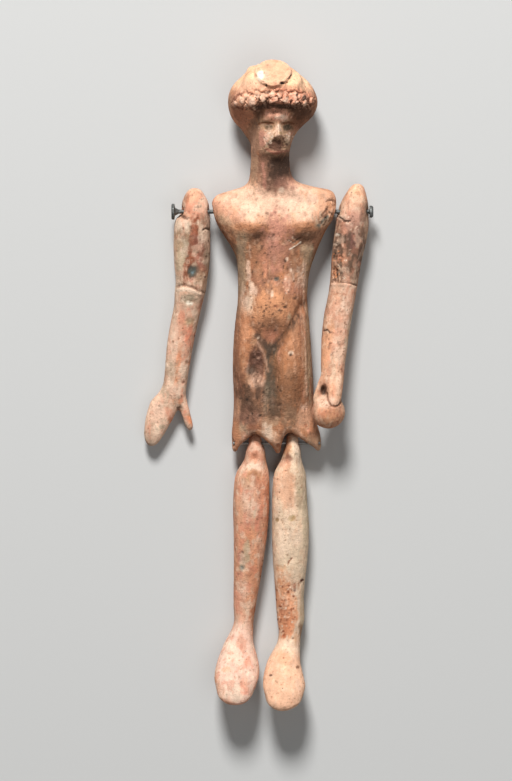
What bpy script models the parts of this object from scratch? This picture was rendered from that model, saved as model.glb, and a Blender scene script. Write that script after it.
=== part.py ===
"""Greek jointed terracotta doll lying on its back, at its real size, in metres.

+X is the viewer's right, +Y points to the crown of the head and +Z out of the chest. The doll's own right arm
and leg are therefore at -X. It rests on Z = 0, with the middle of its footprint at X = Y = 0.
Each clay piece is a free form, so its stations are hundredths of that piece's own length. What fits together
takes its size and place from the named sizes below.
"""

import math
from collections import namedtuple

import bmesh
import bpy
import numpy as np

# Driving sizes
BODY_HEIGHT = 0.103
ARM_LENGTH = 0.068
LEG_LENGTH = 0.0722
SHOULDER_GAP = 0.0003
LEG_GAP = 0.0005

# The rod through both shoulders, with a hammered head at each end. The flare under the first head is so many
# shafts wide, and the second head is that share of the first.
ROD_DIAMETER = 0.0011
ROD_HEAD_DIAMETER = 0.0042
ROD_HEAD_THICKNESS = 0.0008
ROD_SHOW_RIGHT = 0.0018
ROD_SHOW_LEFT = 0.0004
ROD_CLEARANCE = 0.0003
ROD_FLARE = 1.9
ROD_TAIL = 0.76

# The wire through the three lugs and the two knees
WIRE_DIAMETER = 0.0008
WIRE_INSET = 0.0004
WIRE_CLEARANCE = 0.0003

# How far the drilling runs out past the clay
DRILL_OVERRUN = 0.002

# What each piece is measured in
BODY_UNIT = BODY_HEIGHT / 100
ARM_UNIT = ARM_LENGTH / 100
LEG_UNIT = LEG_LENGTH / 100

# Fineness of the faceted solids
FRONT_SIDES = 18
BACK_SIDES = 7
LIMB_FRONT_SIDES = 9
LIMB_BACK_SIDES = 7
ROUND_SIDES = 12
DISC_SIDES = 24
CURL_SIDES = 7

# Where the rod and the wire cross the body, in body units
SHOULDER_Y = 62.3
SHOULDER_Z = 5.8
KNEE_Y = 3.6
KNEE_Z = 5.6
BODY_MIDDLE_X = -0.6

Station = namedtuple("Station", "y left right back wide front square")
Mound = namedtuple("Mound", "x y across along rise")
Round = namedtuple("Round", "x y z radius depth")
Notch = namedtuple("Notch", "apex left left_power right right_power rise depth")

# The trunk, neck and face column from the lugs to inside the hair
BODY_STATIONS = (
    Station(0.9, -10.2, 11.8, 2.2, 4.4, 7.4, 2.4),
    Station(2.7, -10.6, 12.3, 1.2, 4.2, 9.2, 2.6),
    Station(5.0, -10.5, 12.1, 0.3, 3.8, 10.4, 2.6),
    Station(8.0, -10.3, 11.1, -0.2, 3.5, 11.2, 2.4),
    Station(14.0, -9.9, 10.4, -0.3, 3.2, 12.0, 2.3),
    Station(22.0, -10.2, 9.9, -0.3, 3.4, 12.8, 2.6),
    Station(35.0, -9.5, 9.1, -0.3, 3.8, 12.2, 2.5),
    Station(40.0, -8.9, 8.6, -0.2, 4.2, 12.0, 2.4),
    Station(46.0, -8.9, 9.0, -0.1, 4.4, 11.6, 2.4),
    Station(51.0, -9.4, 10.5, -0.2, 4.6, 11.8, 2.5),
    Station(57.5, -13.2, 13.2, -0.3, 5.0, 12.4, 2.8),
    Station(62.5, -15.3, 15.8, 0.1, 5.4, 11.8, 3.2),
    Station(65.0, -15.5, 15.9, 0.7, 5.6, 11.0, 3.0),
    Station(66.6, -14.2, 15.7, 1.3, 5.8, 10.4, 2.7),
    Station(67.6, -10.8, 15.2, 1.7, 6.0, 10.5, 2.5),
    Station(68.5, -7.9, 10.8, 1.9, 6.2, 10.9, 2.4),
    Station(69.5, -6.4, 6.8, 2.1, 6.6, 11.4, 2.2),
    Station(71.0, -6.0, 4.8, 2.2, 7.0, 11.8, 2.1),
    Station(76.4, -5.6, 4.1, 2.2, 7.2, 12.2, 2.0),
    Station(77.8, -5.7, 4.2, 2.2, 7.2, 13.3, 2.2),
    Station(81.0, -5.2, 4.7, 2.4, 7.2, 13.8, 2.3),
    Station(90.0, -5.0, 4.8, 2.8, 7.2, 13.8, 2.3),
    Station(93.0, -4.6, 4.2, 3.4, 7.2, 12.6, 2.2),
)

# The hair, a mushroom cap round the top of the face column
HAIR_STATIONS = (
    Station(77.6, -4.2, 3.2, 3.2, 6.5, 8.0, 2.0),
    Station(79.0, -5.4, 4.2, 2.0, 6.3, 9.0, 2.0),
    Station(82.9, -7.9, 6.4, 0.3, 6.0, 10.4, 2.1),
    Station(86.0, -10.5, 9.6, -0.2, 6.4, 11.3, 2.2),
    Station(87.8, -11.1, 10.8, -0.4, 6.7, 12.5, 2.2),
    Station(89.2, -11.4, 11.1, -0.4, 7.0, 14.4, 2.2),
    Station(90.2, -11.4, 11.3, -0.3, 7.3, 16.4, 2.2),
    Station(91.6, -11.3, 11.0, 0.0, 7.6, 17.4, 2.2),
    Station(93.2, -10.9, 10.4, 0.5, 7.9, 17.5, 2.2),
    Station(95.0, -9.8, 9.3, 1.4, 8.1, 16.7, 2.2),
    Station(96.8, -7.8, 7.3, 2.6, 8.3, 15.4, 2.2),
    Station(99.2, -5.4, 4.4, 5.2, 8.7, 12.8, 2.1),
    Station(100.0, -3.4, 2.6, 6.4, 8.8, 11.6, 2.0),
)

# An arm hangs from its own pin hole: x = 0 is its face against the shoulder, y = z = 0 the rod's axis
RIGHT_ARM_STATIONS = (
    Station(8.7, -7.9, -4.0, -3.8, -1.4, 1.4, 2.1),
    Station(7.7, -8.8, -3.1, -5.6, -1.5, 2.8, 2.1),
    Station(3.5, -10.8, -0.6, -8.6, -1.7, 4.9, 2.3),
    Station(-1.7, -11.0, 0.0, -9.2, -1.8, 5.2, 2.3),
    Station(-2.9, -13.4, 0.0, -9.3, -1.8, 5.3, 2.3),
    Station(-14.6, -14.0, 0.2, -9.3, -1.9, 5.0, 2.3),
    Station(-28.8, -13.2, -1.3, -9.0, -2.5, 3.5, 2.2),
    Station(-30.8, -13.7, -1.6, -9.1, -2.6, 3.7, 2.2),
    Station(-34.6, -13.7, -2.7, -8.8, -2.8, 2.8, 2.2),
    Station(-43.0, -15.2, -4.6, -8.6, -3.0, 2.1, 2.1),
    Station(-52.2, -16.7, -6.5, -8.3, -3.2, 1.3, 2.1),
    Station(-66.8, -17.9, -8.8, -7.8, -3.5, 0.3, 2.1),
    Station(-70.3, -20.0, -9.2, -7.8, -3.6, 0.1, 2.1),
    Station(-73.3, -23.0, -10.6, -7.8, -3.7, -0.2, 2.1),
    Station(-86.0, -25.5, -17.5, -7.3, -4.0, -1.1, 2.1),
    Station(-89.1, -24.8, -19.6, -6.5, -4.1, -1.8, 2.1),
    Station(-90.8, -23.4, -21.3, -5.4, -4.2, -2.9, 2.0),
)
RIGHT_THUMB = ((-11.6, -70.5, -3.6, 2.3), (-7.8, -83.2, -3.4, 1.7))

LEFT_ARM_STATIONS = (
    Station(10.4, 5.9, 9.2, -3.6, -1.2, 1.3, 2.1),
    Station(9.5, 4.9, 10.0, -4.9, -1.4, 2.3, 2.1),
    Station(5.5, 2.3, 11.1, -7.5, -1.6, 4.0, 2.2),
    Station(1.0, 0.3, 11.8, -9.0, -1.8, 5.1, 2.3),
    Station(-6.0, -1.0, 11.8, -9.3, -1.8, 5.4, 2.3),
    Station(-19.8, -2.5, 9.0, -8.4, -1.6, 5.1, 2.2),
    Station(-27.5, -2.9, 7.8, -7.4, -1.3, 5.0, 2.2),
    Station(-45.1, -6.0, 4.8, -4.0, 1.1, 6.2, 2.1),
    Station(-60.4, -6.5, 2.7, -0.4, 4.2, 8.8, 2.1),
    Station(-68.2, -4.6, 1.9, 3.0, 7.2, 11.6, 2.1),
    Station(-71.4, -4.0, 1.3, 5.4, 9.0, 12.7, 2.1),
    Station(-73.4, -3.0, 0.2, 8.2, 10.4, 12.6, 2.0),
)
LEFT_THUMB = ((-6.0, -63.2, 6.4, 1.4), (-8.7, -71.0, 7.4, 1.3))
BALL = Round(-3.5, -75.9, 6.3, 6.6, 0.96)
PALM = Round(-4.2, -70.0, 4.6, 4.2, 0.6)

# A leg hangs from its own wire hole: x = 0 is the middle of its tang, y = z = 0 the wire's axis
RIGHT_LEG_STATIONS = (
    Station(3.5, -1.1, 0.7, -2.3, -0.3, 1.6, 2.0),
    Station(2.4, -2.3, 1.8, -4.1, -0.4, 3.3, 2.0),
    Station(-2.9, -3.6, 3.4, -5.8, -0.6, 4.7, 2.1),
    Station(-5.8, -4.0, 3.6, -6.4, -0.8, 4.8, 2.1),
    Station(-11.2, -7.2, 4.8, -8.1, -1.4, 5.5, 2.3),
    Station(-21.2, -8.3, 5.0, -8.6, -1.6, 5.8, 2.3),
    Station(-38.5, -7.9, 3.5, -8.4, -1.9, 4.4, 2.2),
    Station(-58.7, -8.1, 0.2, -7.8, -2.6, 1.9, 2.1),
    Station(-65.0, -7.7, -0.8, -7.6, -2.7, 1.4, 2.1),
    Station(-72.5, -11.2, -0.9, -8.4, -2.0, 3.0, 2.1),
    Station(-76.5, -13.0, 0.4, -8.6, -0.9, 5.2, 2.1),
    Station(-80.5, -14.4, 1.3, -7.2, 1.0, 7.2, 2.1),
    Station(-84.7, -15.1, 1.3, -3.6, 3.4, 8.9, 2.2),
    Station(-91.2, -13.7, -1.3, 3.1, 6.8, 10.0, 2.1),
    Station(-93.1, -11.5, -3.2, 5.3, 7.7, 9.7, 2.0),
    Station(-94.0, -9.4, -5.4, 6.8, 8.0, 9.0, 2.0),
)
LEFT_LEG_STATIONS = (
    Station(3.8, -1.3, 0.5, -2.3, -0.3, 1.6, 2.0),
    Station(2.6, -2.2, 2.2, -4.1, -0.4, 3.3, 2.0),
    Station(-2.9, -3.1, 3.1, -5.8, -0.6, 4.7, 2.1),
    Station(-5.8, -4.0, 3.2, -6.4, -0.8, 4.8, 2.1),
    Station(-11.2, -6.7, 5.0, -8.1, -1.4, 5.5, 2.3),
    Station(-21.2, -7.4, 5.4, -8.6, -1.6, 5.8, 2.3),
    Station(-29.9, -7.4, 6.1, -8.6, -1.7, 5.6, 2.3),
    Station(-38.5, -7.2, 5.9, -8.4, -1.8, 5.0, 2.2),
    Station(-55.8, -6.1, 4.3, -7.9, -2.4, 3.0, 2.1),
    Station(-64.5, -5.5, 4.5, -7.7, -2.5, 2.2, 2.1),
    Station(-69.2, -4.9, 3.4, -7.7, -2.5, 1.7, 2.1),
    Station(-72.7, -5.4, 2.9, -8.0, -2.3, 2.4, 2.1),
    Station(-76.0, -7.2, 2.9, -8.5, -1.5, 4.2, 2.1),
    Station(-79.5, -9.2, 2.9, -8.2, 0.0, 6.2, 2.1),
    Station(-87.4, -10.8, 5.0, -2.4, 4.8, 9.5, 2.2),
    Station(-93.3, -9.2, 3.1, 3.6, 7.8, 10.6, 2.1),
    Station(-95.0, -7.6, 0.7, 5.8, 8.4, 10.2, 2.0),
    Station(-96.0, -5.0, -1.6, 7.6, 8.8, 9.6, 2.0),
)

# Below this the feet begin, in leg units
ANKLE_Y = -70.0

# Modelling of the front, in body units: breasts, ribs, belly, groin, thighs and the hollow in the right thigh
BODY_MOUNDS = (
    Mound(-5.8, 60.4, 3.8, 3.4, 2.0),
    Mound(6.8, 60.0, 3.8, 3.4, 2.0),
    Mound(0.6, 58.0, 1.8, 5.0, -0.7),
    Mound(-4.6, 52.6, 3.4, 2.6, -0.5),
    Mound(6.0, 52.0, 3.4, 2.6, -0.6),
    Mound(0.4, 40.0, 5.2, 5.6, 1.5),
    Mound(0.0, 30.4, 3.2, 2.8, -0.9),
    Mound(4.6, 22.0, 3.2, 10.0, 1.4),
    Mound(-7.2, 25.0, 2.0, 8.0, 1.0),
    Mound(-4.3, 22.4, 2.0, 4.6, -2.0),
)
# A groove between the thighs runs down from the groin to the middle lug
MIDLINE = ((-0.6, 24.0), (-0.2, 8.5))
MIDLINE_WIDTH = 1.2
MIDLINE_DEPTH = 1.2
MIDLINE_FADE = 2.0

# The face, turned a little to the viewer's right: nose, eyes, brows, cheeks, lips and chin
FACE_MIDDLE_X = 1.2
FACE_MOUNDS = (
    Mound(0.1, 83.8, 1.0, 1.9, 1.3),
    Mound(0.2, 82.2, 1.1, 0.9, 1.0),
    Mound(-2.5, 84.2, 1.4, 0.9, -1.0),
    Mound(2.4, 84.2, 1.3, 0.9, -1.0),
    Mound(0.0, 79.8, 1.7, 0.6, 0.5),
    Mound(0.0, 78.2, 1.8, 0.9, 0.8),
    Mound(0.0, 80.6, 3.0, 3.6, 1.0),
)
FACE_TOP = 86.0
FACE_BOTTOM = 77.0
FACE_RING_SPACING = 0.8
RING_SPACING = 4.2
LIMB_RING_SPACING = 6.5
HAIR_RING_SPACING = 1.8

# The pellet pressed on the front of the crown, facing up and forward
DISC_X = 0.0
DISC_Y = 98.2
DISC_Z = 15.2
DISC_RADIUS = 4.6
DISC_THICKNESS = 1.9
DISC_TILT = math.radians(49)

# The fringe: rows of pellet curls along a low arch over the forehead
CURL_ROWS = 2
CURLS_IN_ROW = 11
CURL_RADIUS = 1.0
CURL_SPREAD = 18.6
CURL_TOP_Y = 93.3
CURL_ROW_STEP = 1.6
CURL_ARCH_DROP = 0.02
CURL_SINK = 0.3

# The arched notches in the hem that take the legs' tangs, in leg units about the tang's middle.
# Their cutters start this far below the hem.
RIGHT_NOTCH = Notch(0.0, 7.2, 2.0, 7.6, 2.0, 9.6, 5.2)
LEFT_NOTCH = Notch(-1.3, 2.9, 4.0, 11.4, 1.5, 10.3, 5.2)
NOTCH_POINTS = 9
NOTCH_START = 2.0


def new_object(name, mesh, parent, location=(0, 0, 0)):
    piece = bpy.data.objects.new(name, mesh)
    bpy.context.scene.collection.objects.link(piece)
    piece.parent = parent
    piece.location = location
    return piece


def finish_mesh(name, bm):
    bmesh.ops.recalc_face_normals(bm, faces=bm.faces)
    mesh = bpy.data.meshes.new(name)
    bm.to_mesh(mesh)
    bm.free()
    mesh.shade_smooth()
    mesh.set_sharp_from_angle(angle=math.radians(50))
    return mesh


def helper(piece):
    """A cutter, or a shape that another piece takes in: it is no piece of its own."""
    piece.hide_render = True
    piece.display_type = "WIRE"
    return piece


def combine(target, other, operation, overlapping=False):
    modifier = target.modifiers.new(f"{operation.lower()}_{other.name}", "BOOLEAN")
    modifier.operation = operation
    modifier.solver = "EXACT"
    modifier.use_self = overlapping
    modifier.object = helper(other)


def smooth_rows(stations, heights):
    """The stations' columns read at other heights, on a smooth curve that never overshoots them."""
    table = np.array(sorted(stations))
    at, columns = table[:, 0], table[:, 1:]
    gap = np.diff(at)
    slope = np.diff(columns, axis=0) / gap[:, None]
    product = slope[:-1] * slope[1:]
    total = slope[:-1] + slope[1:]
    middle = np.where(product > 0, 2 * product / np.where(total == 0, 1, total), 0)
    tangent = np.vstack([slope[:1], middle, slope[-1:]])
    place = np.clip(np.searchsorted(at, heights, side="right") - 1, 0, len(gap) - 1)
    t = ((heights - at[place]) / gap[place])[:, None]
    low, high, run = columns[place], columns[place + 1], gap[place][:, None]
    return (
        (2 * t**3 - 3 * t**2 + 1) * low
        + (t**3 - 2 * t**2 + t) * run * tangent[place]
        + (3 * t**2 - 2 * t**3) * high
        + (t**3 - t**2) * run * tangent[place + 1]
    )


def ring_heights(stations, spacing):
    """Each station's height, with rings between those that stand further apart than spacing(height)."""
    at = sorted(s.y for s in stations)
    heights = []
    for low, high in zip(at[:-1], at[1:]):
        count = max(1, math.ceil((high - low) / spacing((low + high) / 2)))
        heights.extend(np.linspace(low, high, count, endpoint=False))
    return np.array(heights + [at[-1]])


def ring_points(row, front_sides, back_sides, floor):
    """One cross-section, round in front and flat where its back would pass the floor, as (x, z, front share)."""
    left, right, back, wide, front, square = row
    angles = np.concatenate(
        [
            np.linspace(0, math.pi, front_sides, endpoint=False),
            np.linspace(math.pi, 2 * math.pi, back_sides, endpoint=False),
        ]
    )
    across, up = np.cos(angles), np.sin(angles)
    power = 2 / square
    x = (left + right) / 2 + (right - left) / 2 * np.sign(across) * np.abs(across) ** power
    depth = np.where(up >= 0, front - wide, wide - back)
    z = wide + depth * np.sign(up) * np.abs(up) ** power
    return x, np.maximum(z, floor), np.clip(up, 0, 1)


def mound_rise(mounds, x, y, middle=0.0):
    rise = np.zeros_like(x)
    for m in mounds:
        rise += m.rise * np.exp(-(((x - middle - m.x) / m.across) ** 2) - ((y - m.y) / m.along) ** 2)
    return rise


def groove_rise(x, y):
    (top_x, top_y), (end_x, end_y) = MIDLINE
    along = np.clip((top_y - y) / (top_y - end_y), 0, 1)
    past = np.maximum(np.maximum(y - top_y, end_y - y), 0)
    aside = x - (top_x + (end_x - top_x) * along)
    return -MIDLINE_DEPTH * np.exp(-((aside / MIDLINE_WIDTH) ** 2) - (past / MIDLINE_FADE) ** 2)


def body_relief(x, y):
    return mound_rise(BODY_MOUNDS, x, y) + groove_rise(x, y) + mound_rise(FACE_MOUNDS, x, y, FACE_MIDDLE_X)


def lofted_mesh(name, stations, unit, spacing, sides, floor, relief=None):
    """A closed skin through smooth cross-sections, with its modelling raised on the front."""
    heights = ring_heights(stations, spacing)
    bm = bmesh.new()
    rings = []
    for y, row in zip(heights, smooth_rows(stations, heights)):
        x, z, front = ring_points(row, *sides, floor)
        if relief:
            z = z + relief(x, np.full_like(x, y)) * np.minimum(1, 1.6 * front)
        rings.append([bm.verts.new((a * unit, y * unit, b * unit)) for a, b in zip(x, z)])
    count = len(rings[0])
    for low, high in zip(rings[:-1], rings[1:]):
        for i in range(count):
            j = (i + 1) % count
            bm.faces.new((low[i], low[j], high[j], high[i]))
    bm.faces.new(rings[0])
    bm.faces.new(rings[-1])
    return finish_mesh(name, bm)


def even_spacing(spacing):
    return lambda _height: spacing


def body_spacing(height):
    return FACE_RING_SPACING if FACE_BOTTOM < height < FACE_TOP else RING_SPACING


def ball_mesh(name, radius, depth):
    """A round form, its depth from front to back given as a share of its width."""
    bm = bmesh.new()
    bmesh.ops.create_uvsphere(bm, u_segments=ROUND_SIDES, v_segments=ROUND_SIDES - 2, radius=radius)
    for v in bm.verts:
        v.co.z *= depth
    return finish_mesh(name, bm)


def finger_mesh(name, start, end, unit, rings=3):
    """A tapered round-ended finger between two (x, y, z, radius) ends."""
    a, b = np.array(start[:3]) * unit, np.array(end[:3]) * unit
    axis = (b - a) / np.linalg.norm(b - a)
    side = np.cross(axis, (0, 0, 1))
    side /= np.linalg.norm(side)
    up = np.cross(side, axis)
    bm = bmesh.new()
    loops = []
    quarter = [math.pi / 2 * (i + 0.5) / rings for i in range(rings)]
    stops = [(a, start[3], -math.cos(q), math.sin(q)) for q in quarter]
    stops += [(b, end[3], math.sin(q), math.cos(q)) for q in quarter]
    for centre, radius, along, out in stops:
        middle = centre + axis * radius * unit * along
        reach = radius * unit * out
        angles = [2 * math.pi * i / ROUND_SIDES for i in range(ROUND_SIDES)]
        loops.append([bm.verts.new(middle + reach * (math.cos(t) * side + math.sin(t) * up)) for t in angles])
    for low, high in zip(loops[:-1], loops[1:]):
        for i in range(ROUND_SIDES):
            j = (i + 1) % ROUND_SIDES
            bm.faces.new((low[i], low[j], high[j], high[i]))
    bm.faces.new(loops[0])
    bm.faces.new(loops[-1])
    return finish_mesh(name, bm)


def turned_mesh(name, profile, sides=ROUND_SIDES):
    """A round piece turned about the Z axis from (z, radius) points, closed at both ends."""
    bm = bmesh.new()
    loops = []
    for z, radius in profile:
        angles = [2 * math.pi * i / sides for i in range(sides)]
        loops.append([bm.verts.new((radius * math.cos(t), radius * math.sin(t), z)) for t in angles])
    for low, high in zip(loops[:-1], loops[1:]):
        for i in range(sides):
            j = (i + 1) % sides
            bm.faces.new((low[i], low[j], high[j], high[i]))
    bm.faces.new(loops[0])
    bm.faces.new(loops[-1])
    return finish_mesh(name, bm)


def laid_along_x(piece):
    piece.rotation_euler.y = math.pi / 2
    return piece


def notch_mesh(name, notch, reach):
    """An arch-shaped bar that cuts a leg's notch up into the hem, right through from front to back."""
    outline = []
    for side, half, power in ((-1, notch.left, notch.left_power), (1, notch.right, notch.right_power)):
        steps = np.linspace(0, 1, NOTCH_POINTS)
        points = [(notch.apex + side * half * (1 - h**power), h * notch.rise - notch.depth) for h in steps]
        outline.append(points)
    left, right = outline
    below = -notch.depth - NOTCH_START
    loop = [(left[0][0], below), *left, *reversed(right[:-1]), (right[0][0], below)]
    bm = bmesh.new()
    face = bm.faces.new([bm.verts.new((x * LEG_UNIT, y * LEG_UNIT, -reach)) for x, y in loop])
    made = bmesh.ops.extrude_face_region(bm, geom=[face])["geom"]
    for v in made:
        if isinstance(v, bmesh.types.BMVert):
            v.co.z += 2 * reach
    return finish_mesh(name, bm)


def front_height(stations, x, y):
    """How high a lofted form's front stands at x, y, in its own units."""
    left, right, _back, wide, front, square = smooth_rows(stations, np.array([y]))[0]
    aside = min(abs((x - (left + right) / 2) / ((right - left) / 2)), 0.98)
    return wide + (front - wide) * (1 - aside**square) ** (1 / square)


def add_curls(origin):
    """Rows of pellets over the forehead, sunk a little into the hair."""
    bm = bmesh.new()
    for row in range(CURL_ROWS):
        for i in range(CURLS_IN_ROW):
            share = (i + (row % 2) / 2) / (CURLS_IN_ROW - 0.5) - 0.5
            x = share * CURL_SPREAD
            y = CURL_TOP_Y - row * CURL_ROW_STEP - CURL_ARCH_DROP * x * x
            z = front_height(HAIR_STATIONS, x, y) + CURL_RADIUS * (1 - 2 * CURL_SINK)
            radius = CURL_RADIUS * BODY_UNIT
            made = bmesh.ops.create_uvsphere(bm, u_segments=CURL_SIDES, v_segments=4, radius=radius)["verts"]
            bmesh.ops.translate(bm, verts=made, vec=(x * BODY_UNIT, y * BODY_UNIT, z * BODY_UNIT))
    return new_object("curls", finish_mesh("curls", bm), origin)


def add_disc(origin):
    half, radius = DISC_THICKNESS / 2 * BODY_UNIT, DISC_RADIUS * BODY_UNIT
    profile = [(-half, radius * 0.9), (half * 0.1, radius), (half * 0.7, radius * 0.94), (half, radius * 0.8)]
    place = (DISC_X * BODY_UNIT, DISC_Y * BODY_UNIT, DISC_Z * BODY_UNIT)
    disc = new_object("crown_disc", turned_mesh("crown_disc", profile, DISC_SIDES), origin, place)
    disc.rotation_euler.x = -DISC_TILT
    return disc


def add_body(origin):
    sides = (FRONT_SIDES, BACK_SIDES)
    body = new_object(
        "torso_and_head",
        lofted_mesh("torso_and_head", BODY_STATIONS, BODY_UNIT, body_spacing, sides, 0.0, body_relief),
        origin,
    )
    hair_mesh = lofted_mesh("hair", HAIR_STATIONS, BODY_UNIT, even_spacing(HAIR_RING_SPACING), sides, 0.0)
    hair = new_object("hair", hair_mesh, origin)
    combine(body, hair, "UNION")
    combine(body, add_disc(origin), "UNION")
    combine(body, add_curls(origin), "UNION", overlapping=True)
    return body


def add_arm(name, stations, origin, shoulder_x, thumb):
    """An arm on the rod, with its thumb. The floor is where the body's flat back lies."""
    floor = -SHOULDER_Z * BODY_UNIT / ARM_UNIT
    sides = (LIMB_FRONT_SIDES, LIMB_BACK_SIDES)
    place = (shoulder_x, SHOULDER_Y * BODY_UNIT, SHOULDER_Z * BODY_UNIT)
    mesh = lofted_mesh(name, stations, ARM_UNIT, even_spacing(LIMB_RING_SPACING), sides, floor)
    arm = new_object(name, mesh, origin, place)
    thumb_name = f"{name}_thumb"
    combine(arm, new_object(thumb_name, finger_mesh(thumb_name, *thumb, ARM_UNIT), origin, place), "UNION")
    return arm


def add_round_to_arm(arm, name, form, origin):
    """A round form of the left hand."""
    place = [at + step * ARM_UNIT for at, step in zip(arm.location, form[:3])]
    mesh = ball_mesh(name, form.radius * ARM_UNIT, form.depth)
    combine(arm, new_object(name, mesh, origin, place), "UNION")


def add_leg(name, stations, origin, knee_x):
    floor = -KNEE_Z * BODY_UNIT / LEG_UNIT
    sides = (LIMB_FRONT_SIDES, LIMB_BACK_SIDES)
    place = (knee_x, KNEE_Y * BODY_UNIT, KNEE_Z * BODY_UNIT)
    mesh = lofted_mesh(name, stations, LEG_UNIT, even_spacing(LIMB_RING_SPACING), sides, floor)
    return new_object(name, mesh, origin, place)


def cut_notch(body, name, notch, origin, knee_x):
    place = (knee_x, KNEE_Y * BODY_UNIT, KNEE_Z * BODY_UNIT)
    reach = max(s.front for s in BODY_STATIONS) * BODY_UNIT
    combine(body, new_object(name, notch_mesh(name, notch, reach), origin, place), "DIFFERENCE")


def drill(pieces, name, diameter, low_x, high_x, y, z, origin):
    """One straight hole along X through every piece that the rod or wire passes."""
    mesh = turned_mesh(name, [(low_x, diameter / 2), (high_x, diameter / 2)])
    drill_bit = laid_along_x(new_object(name, mesh, origin, (0, y, z)))
    for piece in pieces:
        combine(piece, drill_bit, "DIFFERENCE")


def add_rod(low_x, high_x, origin):
    """The shoulder rod: the head on the doll's right flares from the shaft, the other is a plain disc."""
    shaft, head = ROD_DIAMETER / 2, ROD_HEAD_DIAMETER / 2
    profile = [
        (low_x, head * 0.9),
        (low_x + ROD_HEAD_THICKNESS * 0.3, head),
        (low_x + ROD_HEAD_THICKNESS, head),
        (low_x + ROD_HEAD_THICKNESS * 1.2, shaft * ROD_FLARE),
        (low_x + ROD_HEAD_THICKNESS * 2.4, shaft),
        (high_x - ROD_HEAD_THICKNESS * 1.2, shaft),
        (high_x - ROD_HEAD_THICKNESS * 1.2, head * ROD_TAIL),
        (high_x - ROD_HEAD_THICKNESS * 0.4, head * ROD_TAIL),
        (high_x, head * 0.6),
    ]
    place = (0, SHOULDER_Y * BODY_UNIT, SHOULDER_Z * BODY_UNIT)
    return laid_along_x(new_object("shoulder_rod", turned_mesh("shoulder_rod", profile), origin, place))


def add_wire(low_x, high_x, origin):
    radius = WIRE_DIAMETER / 2
    profile = [
        (low_x, radius * 0.6),
        (low_x + radius * 0.5, radius),
        (high_x - radius * 0.5, radius),
        (high_x, radius * 0.6),
    ]
    place = (0, KNEE_Y * BODY_UNIT, KNEE_Z * BODY_UNIT)
    return laid_along_x(new_object("knee_wire", turned_mesh("knee_wire", profile), origin, place))


def painted(name, color, roughness, metallic=0.0):
    material = bpy.data.materials.new(name)
    material.use_nodes = True
    shader = material.node_tree.nodes["Principled BSDF"]
    shader.inputs["Base Color"].default_value = (*color, 1.0)
    shader.inputs["Roughness"].default_value = roughness
    shader.inputs["Metallic"].default_value = metallic
    return material


def widest(stations, side):
    return max(side * (s.right if side > 0 else s.left) for s in stations)


def rest_on_floor(origin, pieces):
    """Moves the whole doll so that the middle of its footprint is the origin and its back lies on Z = 0."""
    bpy.context.view_layer.update()
    graph = bpy.context.evaluated_depsgraph_get()
    points = []
    for piece in pieces:
        seen = piece.evaluated_get(graph)
        points.extend(seen.matrix_world @ v.co for v in seen.data.vertices)
    corners = np.array(points)
    low, high = corners.min(axis=0), corners.max(axis=0)
    origin.location = (-(low[0] + high[0]) / 2, -(low[1] + high[1]) / 2, -low[2])


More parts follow.
